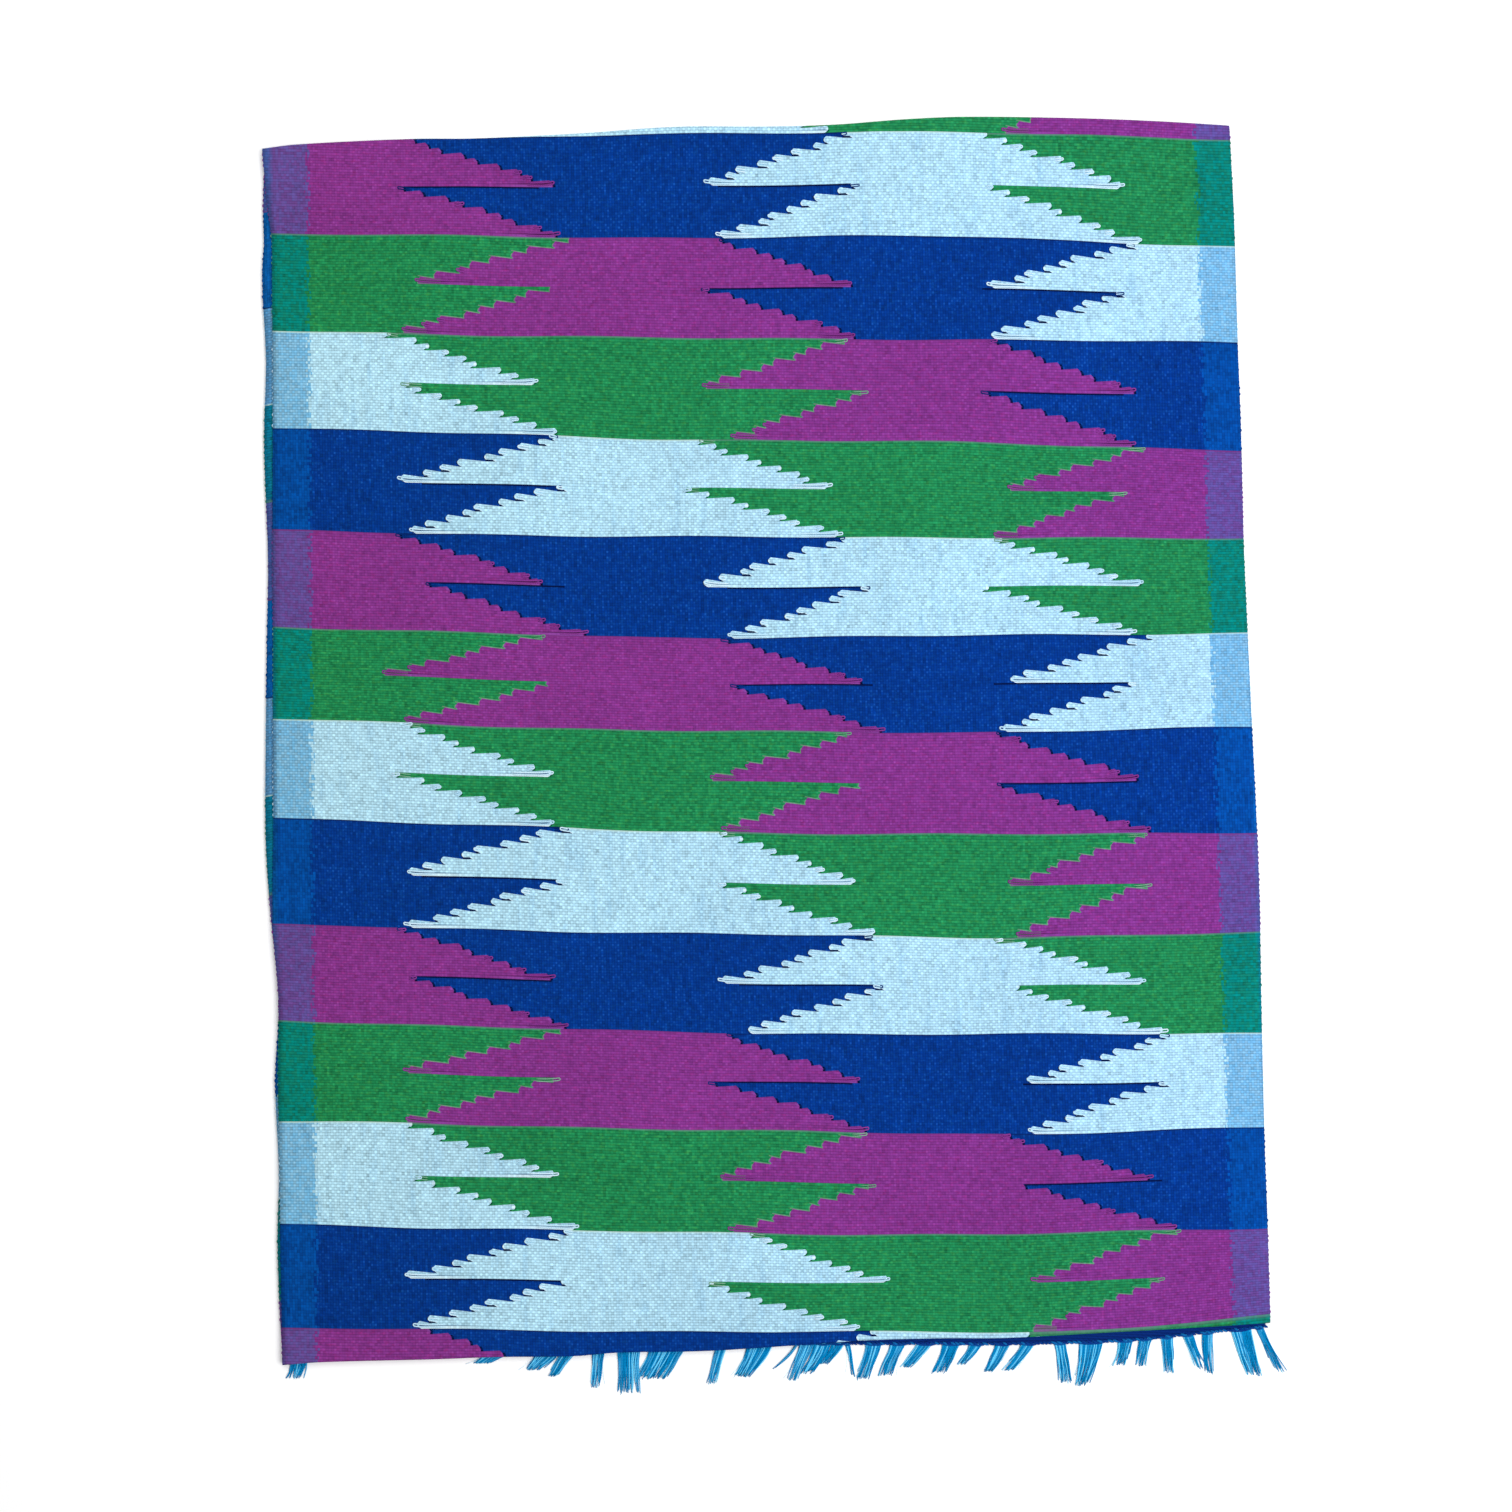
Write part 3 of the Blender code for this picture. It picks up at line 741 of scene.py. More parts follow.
    # The stair's own edge: it leans, it bulges where the weft turns, and the other reaches in
    turn, turns = HOOK_WANDER
    uneven = chain(number, ("VectorMath MULTIPLY_ADD", turn, turns), ("VectorMath SINE",))

    def by_edge(column, size):
        """One column of the table of edges, for the three borders."""
        amounts = [row_of[column] * size for row_of in EDGES]
        return blend(white, blend(to_right, *amounts[:2]), blend(to_right, *amounts[2:]))

    lean, bulge = by_edge(0, MM), by_edge(1, MM)

    def profile(place_down):
        """How far out the edge stands at a place down the stair."""
        tilt = add("Math SUBTRACT", place_down, 0.5)
        arch = chain(place_down, ("Math SUBTRACT", BULGE_CENTRE), ("Math MULTIPLY", 1 / BULGE_HALF))
        arch = add("Math SUBTRACT", 1.0, add("Math MULTIPLY", arch, arch))
        arched = add("VectorMath MULTIPLY", bulge, arch)
        return add("VectorMath MULTIPLY_ADD", lean, tilt, arched)

    out = profile(depth)
    low_part = add("Math GREATER_THAN", depth, REACH_START)
    low_part = add("Math SUBTRACT", low_part, last_stair, use_clamp=True)
    reach = add("VectorMath MULTIPLY_ADD", uneven, by_edge(3, MM), by_edge(2, MM))
    reach = chain(reach, ("VectorMath MAXIMUM", 0.0), ("VectorMath MULTIPLY", low_part))
    beyond = add("VectorMath SUBTRACT", flat_gap, add("VectorMath SUBTRACT", out, reach))

    # The next stair's picks lift towards their turn, over the foot of this one
    before_next = add("VectorMath SUBTRACT", depth, 1.0)
    lift = chain(flat_gap, ("VectorMath DIVIDE", tread), ("VectorMath MAXIMUM", 0.0),
                 ("VectorMath MINIMUM", 1.0), ("VectorMath MULTIPLY", by_edge(4, 1.0)))
    above_tread = chain(0.0, ("VectorMath SUBTRACT", before_next), ("VectorMath SUBTRACT", lift))
    curl_end = add("VectorMath ADD", tread, profile(add("Math SUBTRACT", depth, 1.0)))
    curl_gap = add("VectorMath SUBTRACT", flat_gap, curl_end)
    on_tread = times(over(flat_gap), add("Math SUBTRACT", 1.0, last_stair))
    curl = times(above(0.0, above_tread), above(0.0, curl_gap), on_tread)
    receded = times(over(beyond), rest(curl))

    # Zone across the cloth, then which weft it holds
    zone = total(add("VectorMath ADD", times(growth, receded), to_left))
    kind = chain(zone, ("Math SUBTRACT", row), ("Math FLOORED_MODULO", 4.0))
    holds = [add("Math COMPARE", kind, i, 0.4) for i in range(4)]

    def by_weft(values):
        """A colour, or three amounts, that depend on the weft."""
        mixed = values[0]
        for i in (1, 2, 3):
            mixed = add("Mix RGBA", holds[i], mixed, values[i])
        return mixed

    def by_colours(*codes):
        return by_weft([linear(code) for code in codes])

    plain = by_weft([getattr(colours, name) for name in WEFTS])
    specked = by_colours("#9A5AA8", "#2A6CB8", "#6F9FBE", "#37985A")
    touched = by_colours("#8E2470", "#0A4690", "#86B6D8", "#3C8A3C")

    # Warps and picks: one thread every warp spacing across and two picks in a stair down
    warps = add("Math MULTIPLY", across, 1 / sizes.warp_spacing)
    picks = add("Math MULTIPLY", stairs, PICKS)
    across_wave, down_wave = (chain(count, ("Math MULTIPLY", math.pi), ("Math SINE",))
                              for count in (warps, picks))
    crossing = add("Math MULTIPLY", across_wave, down_wave)
    warp_round, pick_round = (add("Math ABSOLUTE", wave) for wave in (across_wave, down_wave))
    warp_count, pick_count = (add("Math FLOOR", count) for count in (warps, picks))

    def streaks(x, y, stretch, detail, roughness):
        """Noise drawn out along the threads."""
        return chain(x, ("CombineXYZ", y, 0.0), ("VectorMath MULTIPLY", (*stretch, 1.0)),
                     ("TexNoise", 1.0, detail, roughness))

    # Uneven threads: each pick and each warp varies along its own length, and each crossing
    along_pick = streaks(across, pick_count, (190.0, 3.3), 2.0, 0.7)
    along_warp = streaks(warp_count, down, (3.3, 7.0), 2.0, 0.6)
    at_crossing = chain(warp_count, ("CombineXYZ", pick_count, 0.0), ("TexWhiteNoise",))
    at_crossing = at_crossing.outputs["Value"]

    # Wider streaks down and across, where several threads are thicker or paler
    down_streaks = streaks(across, down, (150.0, 1.6), 3.0, 0.65)
    mottle = streaks(across, down, (230.0, 34.0), 3.0, 0.6)
    clouds = streaks(across, down, (9.0, 0.7), 2.0, 0.5)
    broken = streaks(across, down, (26.0, 1.0), 2.0, 0.6)
    broken = add("MapRange", broken, 0.36, 0.56, 0.45, 1.0)

    # Amounts of each of those for each weft: along picks, along warps, at crossings
    thread_mix = by_weft([(0.95, 0.20, 0.20), (0.25, 1.00, 0.26), (0.75, 0.45, 0.22),
                          (1.10, 0.18, 0.34)])
    threads = add("CombineXYZ", along_pick, along_warp, at_crossing)
    thickness = add("VectorMath ADD", threads, -0.5)
    threads = add("VectorMath DOT_PRODUCT", thickness, thread_mix)
    # Amounts of painted shade in the hollows between picks and between warps
    hollow_shade_mix = by_weft([(0.26, 0.08, 0.0), (0.08, 0.24, 0.0), (0.32, 0.15, 0.0),
                          (0.34, 0.04, 0.0)])
    painted_hollow_shade = rest(add("CombineXYZ", pick_round, warp_round, 0.0))
    painted_hollow_shade = add("VectorMath DOT_PRODUCT", painted_hollow_shade, hollow_shade_mix)
    shade = add("Math SUBTRACT", threads, painted_hollow_shade)
    # Painted light and shade at the white's crossings, partly the warp's own colour
    even = add("Math MULTIPLY", crossing, holds[2])
    shade = chain(even, ("Math MULTIPLY_ADD", 0.13, shade), ("Math ADD", 1.08))

    # Streaks and touches of another hue: wine in the magenta, sky in the white, leaf in the green
    touch = add("Mix FLOAT", holds[2], mottle, down_streaks)
    touch = add("MapRange", touch, 0.50, 0.75, 0.0, 0.6)
    colour = add("Mix RGBA", touch, plain, touched)
    # Specks where a warp crosses over, more of them along some warps
    speck = add("MapRange", crossing, -0.35, -0.85, 0.0, 1.0, interpolation_type="SMOOTHSTEP")
    dotted = add("MapRange", at_crossing, 0.35, 0.75, 0.0, 1.0)
    often = add("MapRange", along_warp, 0.38, 0.60, 0.15, 1.0)
    amount = by_weft([(share,) * 3 for share in (0.18, 0.20, 0.50, 0.25)])
    speck = chain(speck, ("Math MULTIPLY", dotted), ("Math MULTIPLY", often),
                  ("VectorMath MULTIPLY", amount), ("SeparateXYZ",))
    colour = add("Mix RGBA", speck, colour, specked)

    # The margins are set with more warp, which tints them turquoise, deeper at the selvedge and
    # ragged where they start
    ragged = add("Math MULTIPLY_ADD", at_crossing, 0.005, -0.0025)
    in_margin = add("Math LESS_THAN", margin, ragged)
    tinted = by_colours("#56478C", "#004492", "#67A4CC", "#00756E")
    margin_dots = add("MapRange", at_crossing, 0.2, 0.8, 0.72, 1.0)
    tint = add("Math MULTIPLY", in_margin, margin_dots)
    colour = add("Mix RGBA", tint, colour, tinted)
    crowded = add("MapRange", margin, SELVEDGE, SELVEDGE - 0.004, 0.0, 0.5)
    colour = add("Mix RGBA", crowded, colour, linear("#0A62A8"))
    # The threads' uneven tone and the weave's painted light and shade scale the colour
    colour = add("VectorMath MULTIPLY", colour, shade)

    # Painted shadow beside each turn, where the receding weft lies in shade: long strokes at the
    # blue that magenta covers, spots at the green that white covers, the whole slot under white at
    # blue
    stroke = times(above(blend(magenta, *STROKE_WIDTHS), beyond), over(beyond), to_right)
    lower = add("Math GREATER_THAN", depth, 0.12)
    spotted = add("Math GREATER_THAN", depth, 0.45)
    knobbly = chain(depth, ("Math MULTIPLY_ADD", 8.98, 0.22), ("Math SINE",),
                    ("Math MULTIPLY_ADD", 0.15, 0.95))
    stroke = total(times(stroke, blend(magenta, spotted, knobbly)), lower)
    in_slot = times(over(reach), over(beyond), to_left, above(SLOT_OVERLAP, flat_gap), white)
    # and a painted shadow as a thin outline round the white turns on blue
    outline = times(above(OUTLINE_WIDTH, beyond), over(beyond), to_left, white)
    # The last two picks of each half lie loose side by side, with a painted shade line between them
    far_in = add("VectorMath ADD", flat_gap, LOOSE_LENGTHS)
    fading = chain(far_in, ("VectorMath MULTIPLY", 24.0), ("VectorMath MINIMUM", 1.0))
    loose = times(over(far_in), rest(over(flat_gap)), fading)
    between = chain(depth, ("Math COMPARE", 0.42, 0.12), ("Math MULTIPLY", last_stair))
    # Under a tongue of white or magenta the next picks lie in its shadow
    under = times(above(TONGUE, flat_gap), over(flat_gap), half)
    at_top = add("Math LESS_THAN", depth, 0.3)
    marks = (total(in_slot), total(outline), total(loose, between),
             total(under, first_stair, at_top, holds[1]))
    # All these marks together are the painted shadow, mixed towards a shaded colour of each weft
    painted_shadow = chain(stroke, *(("Math MAXIMUM", mark) for mark in marks))
    painted_shadow = add("Math MULTIPLY", painted_shadow, 0.9, use_clamp=True)
    shadow_colours = by_colours("#3A1440", "#00042A", "#3E5C80", "#04402C")
    colour = add("Mix RGBA", painted_shadow, colour, shadow_colours)

    # Each turn itself catches the light: bright on white, pale purple on magenta
    rim = over(add("VectorMath ADD", beyond, blend(to_right, *RIM_WIDTHS)))
    high_half = add("Math LESS_THAN", depth, 0.5)
    rim = times(rim, rest(over(beyond)), blend(to_right, 0.8, high_half))
    often = add("VectorMath MULTIPLY_ADD", uneven, 0.3, 0.6)
    seldom = add("VectorMath MULTIPLY_ADD", uneven, 0.5, 0.1)
    often = add("VectorMath MAXIMUM", blend(white, seldom, often), 0.0)
    rim = add("Math MULTIPLY", total(times(rim, often)), 0.9, use_clamp=True)
    lit = by_colours("#8448A2", "#0A4A9C", "#D2E6F2", "#5A8A70")
    colour = add("Mix RGBA", rim, colour, lit)

    # The loose last pick of each half lies bare of warp and stands up from the cloth: it is painted
    # lighter, partly for its bare weft and partly as a painted highlight
    bare = chain(depth, ("Math GREATER_THAN", 0.56), ("Math MULTIPLY", last_stair))
    bare_and_lit_pick = by_colours("#84489E", "#0A3F94", "#D8E8F0", "#2C8A5A")
    colour = add("Mix RGBA", total(loose, bare, 0.75), colour, bare_and_lit_pick)

    # A pale pick foots each green stair against magenta in broken lengths, and rounds up at
    # its turn
    near = chain(tread, ("VectorMath SUBTRACT", flat_gap), ("VectorMath ADD", 0.0006))
    foot = times(above(0.17, above_tread), over(above_tread), on_tread, over(near))
    foot_end = times(above(OUTLINE_WIDTH, beyond), over(beyond))
    foot = add("VectorMath MAXIMUM", foot, foot_end)
    foot = total(times(foot, to_left, magenta), holds[3], broken)
    foot = add("Math MULTIPLY", foot, 0.45, use_clamp=True)
    colour = add("Mix RGBA", foot, colour, linear("#8A968E"))

    # The magenta tongues on green end in greyed, bare picks
    greyed = times(over(add("VectorMath ADD", flat_gap, GREYED_LENGTH)), to_left, magenta)
    greyed = total(greyed, last_stair, holds[0], 0.5)
    colour = add("Mix RGBA", greyed, colour, linear("#5E6660"))

    # Where two bands meet, a mixed pick shows in broken lengths, wider at the last green
    last_green = add("Math GREATER_THAN", down, len(BAND_LINES) - 1)
    last_green = add("Math MULTIPLY", last_green, holds[3])
    widest = add("Math MULTIPLY_ADD", last_green, 0.022, 0.018)
    meeting = add("MapRange", inside, 0.010, widest, 0.85, 0.0)
    meeting = add("Math MULTIPLY", meeting, broken)
    met = by_colours("#6A2A6E", "#03164A", "#A4C2BC", "#557670")
    colour = add("Mix RGBA", meeting, colour, met)

    # Broad unevenness of dye, then less red and more blue towards the right
    broad = add("MapRange", clouds, 0.3, 0.7, 0.95, 1.05)
    drift = add("VectorMath MULTIPLY_ADD", across, (-0.05, 0.0, 0.18), 1.0)
    colour = times(colour, broad, drift)

    # The heading past the last band is plain navy
    heading = add("Math LESS_THAN", down, NAVY_END)
    feed(inputs["Base Color"], add("Mix RGBA", heading, colour, colours.navy))

    # Relief: wefts stand up between the warps, thicker in places. It leaves the stairs out,
    # because a bump works its heights out three times over
    weft_up = add("MapRange", crossing, -1.0, 1.0, 0.3, 1.0)
    relief = add("Mix FLOAT", 0.5, weft_up, pick_round)
    thick = add("VectorMath DOT_PRODUCT", thickness, (0.7, 0.35, 0.25))
    relief = add("Math ADD", relief, thick)
    feed(inputs["Normal"], add("Bump", 0.7, 0.0005, None, relief))
    return material


def cotton_yarn(name, colour, shade, twist, paling=0.0):
    """Soft cotton yarn, spun and plied: the eye sees a matt thread with slanting plies, and the
    further along its length, the paler it is painted."""
    material, inputs, add = new_material(name, 0.9)
    place = add("Attribute", attribute_name="yarn_place", attribute_type="GEOMETRY")
    around, along, tone = add("SeparateXYZ", place.outputs["Vector"]).outputs
    turn = add("Math MULTIPLY", along, 2 * math.pi / twist)
    ply = add("Math SINE", add("Math MULTIPLY_ADD", around, 4 * math.pi, turn))
    spot = add("CombineXYZ", around, along, tone)
    spot = add("VectorMath MULTIPLY", spot, (3.0, 240.0, 40.0))
    fibre = add("TexNoise", spot, 1.0, 2.0, 0.6)
    fill = add("Math MULTIPLY_ADD", fibre, 0.45, tone)
    fill = add("Math MULTIPLY_ADD", along, paling, fill)
    fill = add("Math SUBTRACT", fill, 0.2, use_clamp=True)
    feed(inputs["Base Color"], add("Mix RGBA", fill, colour, shade))
    relief = add("Math MULTIPLY_ADD", ply, 0.6, fibre)
    feed(inputs["Normal"], add("Bump", 0.6, 0.0001, None, relief))
    return material


def studio_floor(colour):
    """A matt painted studio floor: the eye sees plain pale ground with the faintest mottle."""
    material, inputs, add = new_material("painted_studio_floor", 0.9)
    mottle = add("TexNoise", add("TexCoord").outputs["Object"], 3.0, 2.0, 0.5)
    tint = add("MapRange", mottle, 0.3, 0.7, 0.985, 1.0)
    feed(inputs["Base Color"], add("VectorMath MULTIPLY", tuple(colour), tint))
    return material


def colour_property(label, text, code):
    return FloatVectorProperty(name=label, description=text, subtype="COLOR", size=3,
                               min=0.0, max=1.0, default=linear(code))


def length_property(label, text, default):
    return FloatProperty(name=label, description=text, default=default, min=0.0003, max=0.005,
                         unit="LENGTH")


class ShawlSizes(bpy.types.PropertyGroup):
    thickness: length_property("Cloth thickness", "Thickness of the woven cloth", CLOTH)
    warp_spacing: length_property("Warp spacing", "From one warp to the next", WARP_SPACING)
    weft: length_property("Weft thickness", "Thickness of a weft at its turns", 0.00105)
    fringe_yarn: length_property("Fringe yarn", "Thickness of one fringe yarn", 0.00096)
    yarn_sides: IntProperty(name="Yarn sides", description="Faces round one yarn",
                            default=5, min=3, max=12)


class ShawlColours(bpy.types.PropertyGroup):
    magenta: colour_property("Magenta", "Magenta weft", "#782F80")
    blue: colour_property("Blue", "Blue weft", "#002F7E")
    white: colour_property("White", "White weft", "#A7D1E6")
    green: colour_property("Green", "Green weft", "#1A7A4A")
    turquoise: colour_property("Turquoise", "Warp, and so the fringe", "#0082BC")
    navy: colour_property("Navy", "Heading at the cloth's end", "#072C78")


class ShawlStage(bpy.types.PropertyGroup):
    floor: colour_property("Floor", "The plain pale floor", "#FCFCFC")
    key_power: FloatProperty(name="Key light", description="Power of the large soft light",
                             default=36.0, min=0.0, max=2000.0, unit="POWER")
    fill_power: FloatProperty(name="Fill light", description="Power of the light opposite",
                              default=23.0, min=0.0, max=2000.0, unit="POWER")
    sky: FloatProperty(name="Room light", description="Strength of the even light all round",
                       default=0.465, min=0.0, max=5.0)
    lens: FloatProperty(name="Lens", description="Focal length of the camera, in millimetres",
                        default=50.0, min=10.0, max=300.0)


def settle(piece):
    """Let a piece ride on the shawl's one body."""
    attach(piece, "root")
    return piece


class SHAWL_OT_weft_turns(bpy.types.Operator):
    """Loop the wefts back at the stairs between the colours"""
    bl_idname = "shawl.weft_turns"
    bl_label = "Weft turns"

    def execute(self, context):
        sizes, colours = context.scene.shawl_sizes, context.scene.shawl_colours
        draw = random.Random(11)
        radius = sizes.weft / 2
        gathered = {name: Yarns() for name in WEFTS}
        for number in range(-4, 2 * STEPS * len(BAND_LINES)):
            row, step = number // (2 * STEPS), number % STEPS
            for border in range(3):
                edge, way = stair(border, number)
                y = up_the_front(edge, (number + 0.5) / (2 * STEPS))
                low, high = front_span(edge)
                if not low + FOLD_CLEAR < y < high - FOLD_CLEAR:
                    continue
                left, right = weft_at(border, row), weft_at(border + 1, row)
                growing, receding = (left, right) if way > 0 else (right, left)
                shown = LOOPS_SHOWN[growing, way]
                last = step == STEPS - 1
                if last:
                    shown = 1.0
                elif step >= STEPS - 3:
                    shown += LATE_SHOWN
                if draw.random() < shown:
                    tip = edge + way * draw.uniform(*TIP) * MM
                    root = edge - way * draw.uniform(*ROOT) * MM
                    if last:
                        root = edge - way * draw.uniform(*LAST_ROOT) * MM
                        tip = edge + way * draw.uniform(*LAST_TIP) * MM
                    path = hairpin(tip, root, number, radius, radius * 0.5, draw)
                    gathered[growing].add(path, [radius] * len(path), sizes.yarn_sides,
                                          draw.uniform(0.0, 0.5))
                if step == 0 and draw.random() < FIRST_SHOWN:
                    tip = edge - way * draw.uniform(*LAST_TIP) * MM
                    root = edge + way * draw.uniform(*OTHER_ROOT) * MM
                    path = hairpin(tip, root, number, radius, radius * 0.3, draw)
                    gathered[receding].add(path, [radius * 0.8] * len(path), sizes.yarn_sides,
                                           draw.uniform(0.3, 0.8))
        for name, yarns in gathered.items():
            material = cotton_yarn(name + "_cotton_weft", getattr(colours, name),
                                   linear(WEFT_SHADES[name]), WEFT_TWIST)
            settle(yarns.build(name + "_weft_turns", material))
        return {"FINISHED"}


class SHAWL_OT_selvedges(bpy.types.Operator):
    """Turn the wefts back along both edges of the front and of the layer behind it"""
    bl_idname = "shawl.selvedges"
    bl_label = "Selvedges"

    def execute(self, context):
        sizes = context.scene.shawl_sizes
        draw = random.Random(5)
        radius = sizes.weft * SELVEDGE_RADIUS
        stair_depth = BAND / (2 * STEPS)
        gathered = {name: Yarns() for name in WEFTS}

        def turn(name, edge_x, y, z, way):
            half_gap = stair_depth / (2 * PICKS)
            reach = draw.uniform(*SELVEDGE_REACH) * MM
            root = edge_x - way * SELVEDGE_ROOT * MM
            path = [Vector((root + way * reach * math.cos(angle),
                            y + half_gap * math.sin(angle), z))
                    for angle in spread(math.pi / 2, -math.pi / 2, TURN_STEPS)]
            gathered[name].add(path, [radius] * len(path), sizes.yarn_sides, draw.uniform(0.0, 0.6))

        for way, column, zone in ((-1, 1, 0), (1, 4, 3)):
            edge = way * WIDTH / 2
            low, high = front_span(edge)
            for number in range(-4, 2 * STEPS * len(BAND_LINES)):
                y = up_the_front(edge, (number + 0.5) / (2 * STEPS))
                if low + 0.001 < y < high - 0.001:
                    edge_x = way * side(column, y)
                    turn(weft_at(zone, number // (2 * STEPS)), edge_x, y,
                         front_height(edge_x, y), way)
        for way, column, zone in ((-1, 2, 0), (1, 5, 3)):
            low, high = front_span(way * WIDTH / 2)
            at_low = band_place(way * WIDTH / 2, low)
            y = low + TURNED_FROM
            while y < high - TURNED_TO:
                place = turned_place(at_low, low, y)
                turn(weft_at(zone, math.floor(place)), way * side(column, y), y, TURNED_LAYER, way)
                y += stair_depth
        for name, yarns in gathered.items():
            settle(yarns.build(name + "_selvedge", bpy.data.materials[name + "_cotton_weft"]))
        return {"FINISHED"}


class SHAWL_OT_fringe(bpy.types.Operator):
    """Hang the fringe of warp ends from the heading, and knot it there"""
    bl_idname = "shawl.fringe"
    bl_label = "Fringe"

    def execute(self, context):
        sizes, colours = context.scene.shawl_sizes, context.scene.shawl_colours
        draw = random.Random(23)
        radius = sizes.fringe_yarn / 2
        fringe, knots = Yarns(), Yarns()
        for across, width, lean, reach, tip in BUNCHES:
            count = max(5, round(width / YARN_SPACING))
            end = BOTTOM - reach * MM
            bend = draw.uniform(-1.0, 1.0) * MM
            for k in range(count):
                spot = ((k + 0.5) / count - 0.5) * width * MM
                start = across * MM + spot
                root = end_line(start)
                stop = 1 - draw.uniform(0.0, 0.12)
                if draw.random() < 0.2:
                    stop -= draw.uniform(0.1, 0.4)
                stray = draw.gauss(0.0, 0.9) * MM
                layer = (k % 3) * LAYER_RISE * MM + draw.uniform(0.0, 0.3) * MM
                wave, turn = draw.uniform(0.1, 0.45) * MM, draw.uniform(0, 6.3)
                path, radii = [], []
                for part in spread(0.0, 1.0, 11):
                    share = stop * part
                    draw_in = min(share / NECK, 1.0)
                    spread_out = max(0.0, (share - NECK) / (1 - NECK))
                    gather = 1 - (1 - NECK_WIDTH) * draw_in + (tip - NECK_WIDTH) * spread_out
                    x = (across * MM + spot * gather + lean * MM * share**LEAN_CURVE
                         + stray * share**2 + bend * math.sin(math.pi * share)
                         + wave * math.sin(turn + 7 * share) * min(1.0, 3 * share))
                    y = root + 0.001 + (end - root - 0.001) * share
                    thick = radius * (1 - 0.45 * part**2)
                    sunk = smooth(share / 0.2)
                    z = (CLOTH / 2) * (1 - sunk) + (thick + 0.05 * MM + layer) * sunk
                    path.append(Vector((x, y, z)))
                    radii.append(thick)
                fringe.add(path, radii, sizes.yarn_sides - 1, draw.choice(FRINGE_TONES))
            for _ in range(max(1, round(width / FIBRE_SPACING))):
                fringe.add(*self.stray_fibre(across, width, lean, end, draw), 3, 1.0)
            lump = width * 0.8 * MM
            centre = across * MM
            path = [Vector((centre + lump * t, end_line(centre + lump * t) + 1.8 * t * t * MM
                            + draw.uniform(-1.6, -1.2) * MM, 1.0 * MM)) for t in spread(-1, 1, 6)]
            radii = [r * MM for r in KNOT_RADII]
            knots.add(path, radii, KNOT_SIDES, draw.uniform(0.0, 0.6))
        self.twined_edge(knots, draw)
        turquoise = cotton_yarn("loose_cotton_warp", colours.turquoise, linear("#6CD0F6"),
                                LOOSE_TWIST, LOOSE_PALING)
        navy = cotton_yarn("navy_cotton_knots", colours.navy, linear("#0E6AAC"), WEFT_TWIST)
        hanging = settle(fringe.build("fringe", turquoise))
        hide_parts("fringed_end")
        settle(knots.build("heading_knots", navy))
        return {"FINISHED"}

    @staticmethod
    def twined_edge(knots, draw):
        """The twined row that shows below the fold on the right, as uneven lumps."""
        x = TWINED[0]
        while x < TWINED[1]:
            length = draw.uniform(3.2, 5.2) * MM
            path, radii = [], []
            for t in spread(0.0, 1.0, 4):
                spot = x + length * t
                arch = math.sin(math.pi * t)
                path.append(Vector((spot, end_line(spot) + (0.8 - 1.9 * t) * MM,
                                    (1.0 + 0.4 * arch) * MM)))
                radii.append((0.35 + 0.6 * arch) * draw.uniform(0.85, 1.1) * MM)
            knots.add(path, radii, KNOT_SIDES, draw.choice(TWINED_TONES))
            x += length * 0.8

    @staticmethod
    def stray_fibre(across, width, lean, end, draw):
        """One thin fibre that has worked loose from its bunch."""
        spot = draw.uniform(-0.5, 0.5) * width * MM
        root = end_line(across * MM + spot)
        swing = draw.uniform(-4.5, 4.5) * MM
        stop = draw.uniform(0.6, 1.04)
        path = []
        for part in spread(0.0, 1.0, 9):
            share = stop * part
            x = across * MM + spot + lean * MM * share**LEAN_CURVE + swing * share**2
            y = root + (end - root) * share
            path.append(Vector((x, y, (0.4 + 0.9 * math.sin(math.pi * part) ** 2) * MM)))
        return path, [0.1 * MM] * len(path)


class SHAWL_OT_cloth(bpy.types.Operator):
    """Weave the one cloth and fold it in three, with the other pieces on it"""
    bl_idname = "shawl.cloth"
    bl_label = "Folded cloth"

    def execute(self, context):
        sizes, colours = context.scene.shawl_sizes, context.scene.shawl_colours
        points, places, faces = [], [], []
        for share in spread(0.0, 1.0, COLUMNS):
            column = cloth_stations(WIDTH * (share - 0.5), share)
            rows = len(column)
            points += [point for point, place in column]
            places += [place for point, place in column]
        for i in range(COLUMNS):
            for j in range(rows - 1):
                corner = i * rows + j
                faces.append((corner, corner + 1, corner + rows + 1, corner + rows))
        cloth = mesh_object("folded_cloth", points, faces, woven_cotton(sizes, colours))
        weave = cloth.data.attributes.new("cloth_place", "FLOAT_VECTOR", "POINT")
        weave.data.foreach_set("vector", [value for place in places for value in place])
        wall = cloth.modifiers.new("Wall", "SOLIDIFY")
        wall.thickness = sizes.thickness
        wall.offset = 0.0
        wall.use_even_offset = True
        wall.use_quality_normals = True
        settle(cloth)
        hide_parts("front_stretch", "hidden_layers")
        names = [f"{name}_{kind}" for name in WEFTS for kind in ("weft_turns", "selvedge")]
        names += ["fringe", "heading_knots"]
        missing = [name for name in names if name not in bpy.data.objects]
        if missing:
            raise RuntimeError(f"make these pieces before the cloth: {missing}")
        return {"FINISHED"}


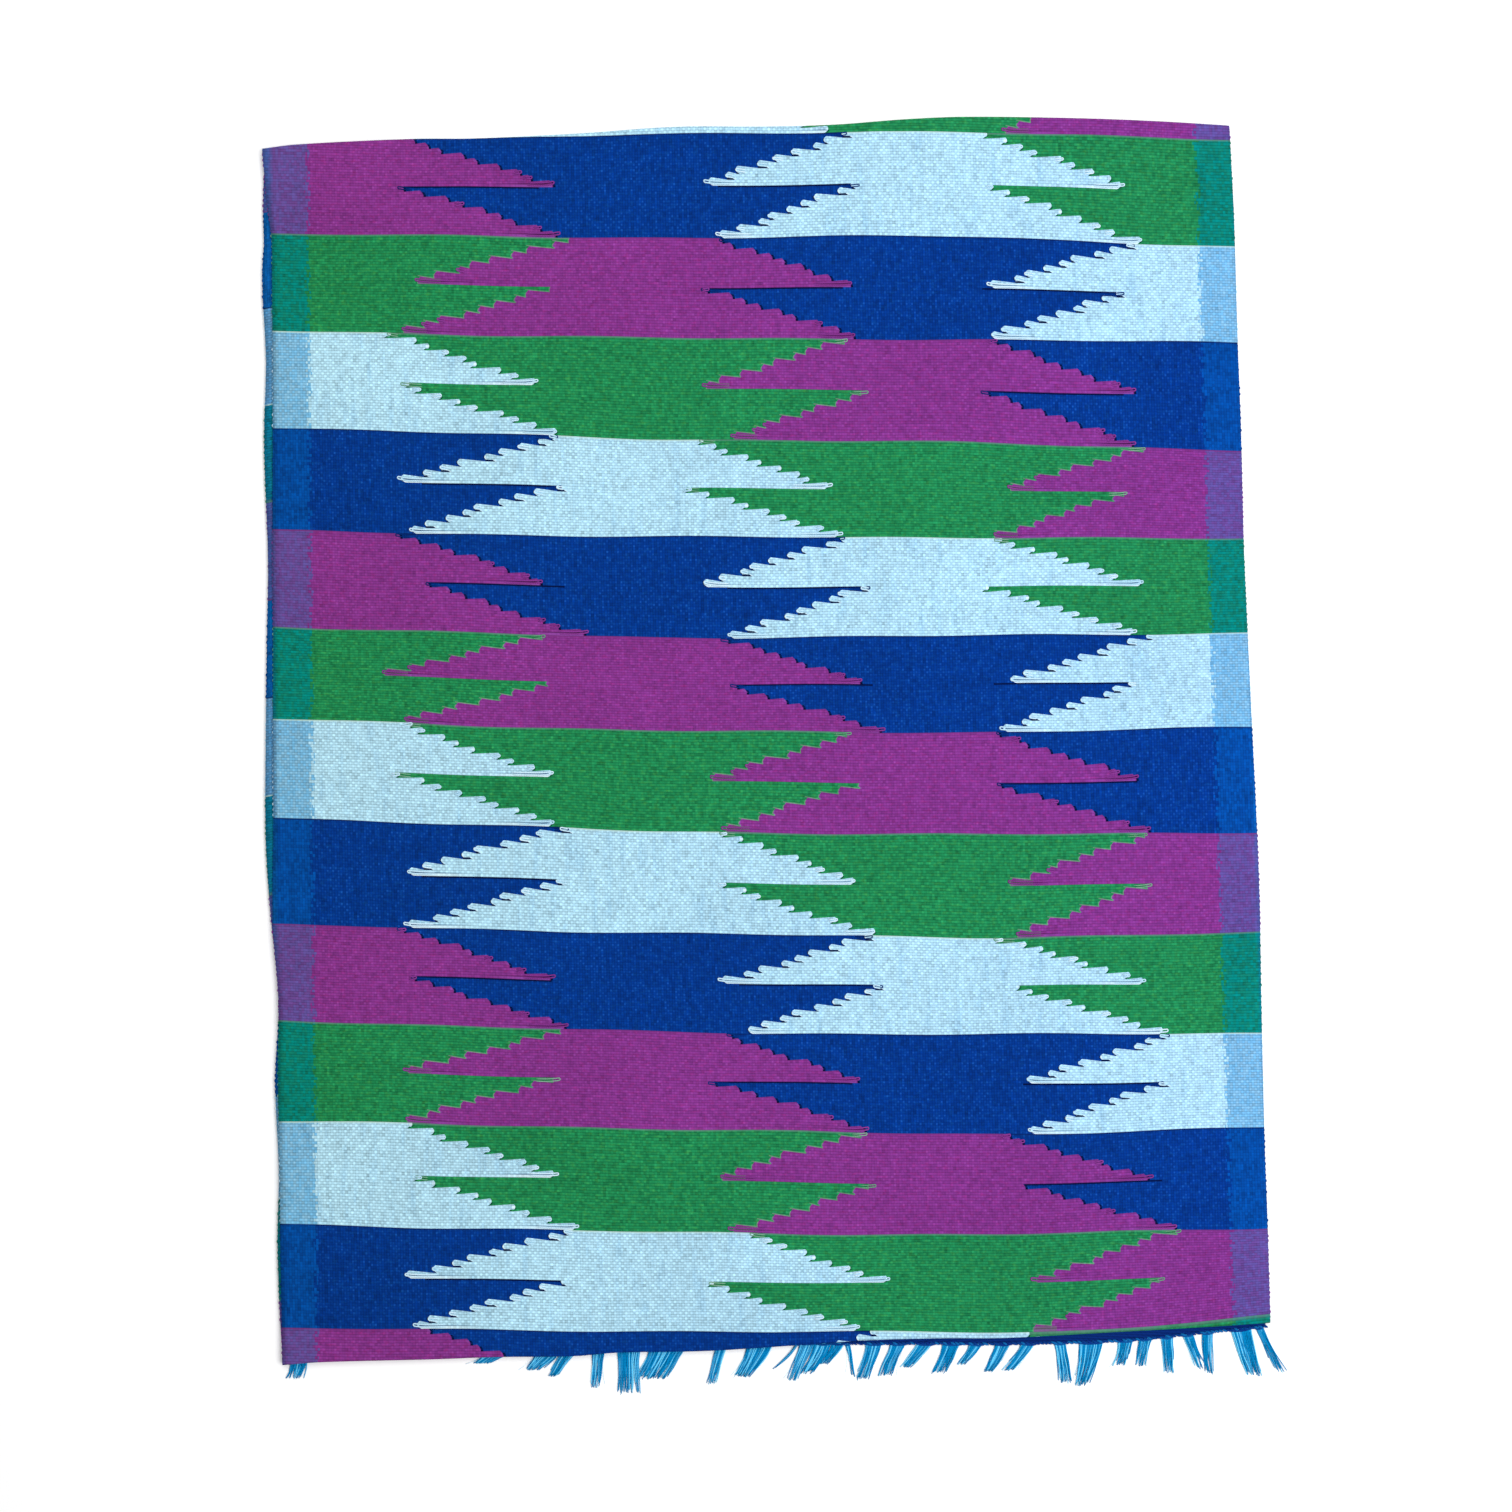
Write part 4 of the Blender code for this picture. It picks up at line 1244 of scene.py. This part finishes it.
class SHAWL_OT_stage(bpy.types.Operator):
    """Set the pale floor, the soft lights and the camera over the shawl"""
    bl_idname = "shawl.stage"
    bl_label = "Stage"

    def execute(self, context):
        stage = context.scene.shawl_stage
        points = [Vector((x * FLOOR_HALF, y * FLOOR_HALF, FLOOR_HEIGHT)) - PLACE
                  for x, y in ((-1, -1), (1, -1), (1, 1), (-1, 1))]
        mesh_object("studio_floor", points, [(0, 1, 2, 3)], studio_floor(stage.floor))
        self.light("key_light", KEY_LIGHT, stage.key_power)
        self.light("fill_light", FILL_LIGHT, stage.fill_power)
        self.room(context, stage.sky)
        self.camera(context, stage.lens)
        context.scene.view_settings.view_transform = "Standard"
        return {"FINISHED"}

    @staticmethod
    def light(name, place, power):
        lamp = bpy.data.lights.new(name, "AREA")
        lamp.shape = "DISK"
        lamp.size = LIGHT_SIZE
        lamp.energy = power
        holder = bpy.data.objects.new(name, lamp)
        holder.location = place
        holder.rotation_euler = (-Vector(place)).to_track_quat("-Z", "Y").to_euler()
        bpy.context.scene.collection.objects.link(holder)

    @staticmethod
    def room(context, strength):
        world = bpy.data.worlds.new("studio_room")
        world.use_nodes = True
        background = world.node_tree.nodes["Background"]
        background.inputs["Color"].default_value = (1.0, 1.0, 1.0, 1.0)
        background.inputs["Strength"].default_value = strength
        context.scene.world = world

    @staticmethod
    def camera(context, lens):
        tilt, roll = math.radians(CAMERA_TILT), math.radians(CAMERA_ROLL)
        right = Vector((math.cos(roll), -math.sin(roll), 0.0))
        flat_up = Vector((math.sin(roll), math.cos(roll), 0.0))
        look = Vector((0, 0, -math.cos(tilt))) + flat_up * math.sin(tilt)
        up = right.cross(look)
        data = bpy.data.cameras.new("overhead_camera")
        data.lens = lens
        data.clip_start = 0.01
        view = bpy.data.objects.new("overhead_camera", data)
        turn = Matrix((right, up, -look)).transposed().to_4x4()
        place = Vector(CAMERA_TARGET) - look * CAMERA_DISTANCE
        view.matrix_world = Matrix.Translation(place) @ turn
        context.scene.collection.objects.link(view)
        context.scene.camera = view


class SHAWL_PT_panel(bpy.types.Panel):
    """Sizes, colours and steps of the folded shawl"""
    bl_label = "Folded shawl"
    bl_idname = "SHAWL_PT_panel"
    bl_space_type = "VIEW_3D"
    bl_region_type = "UI"
    bl_category = "Shawl"

    def draw(self, context):
        layout = self.layout
        for group in (getattr(context.scene, name) for name in GROUPS):
            box = layout.box()
            for name in group.__annotations__:
                box.prop(group, name)
        for step in PIECE_STEPS:
            layout.operator(step.bl_idname)


PIECE_STEPS = (SHAWL_OT_weft_turns, SHAWL_OT_selvedges, SHAWL_OT_fringe, SHAWL_OT_cloth,
               SHAWL_OT_stage)
GROUPS = {"shawl_sizes": ShawlSizes, "shawl_colours": ShawlColours, "shawl_stage": ShawlStage}
CLASSES = (*GROUPS.values(), *PIECE_STEPS, SHAWL_PT_panel)


def register():
    for known in CLASSES:
        bpy.utils.register_class(known)
    for name, group in GROUPS.items():
        setattr(bpy.types.Scene, name, PointerProperty(type=group))


def unregister():
    for name in GROUPS:
        delattr(bpy.types.Scene, name)
    for known in reversed(CLASSES):
        bpy.utils.unregister_class(known)


def main():
    register()
    bpy.ops.shawl.weft_turns()
    bpy.ops.shawl.selvedges()
    bpy.ops.shawl.fringe()
    bpy.ops.shawl.cloth()
    bpy.ops.shawl.stage()


if __name__ == "__main__":
    main()
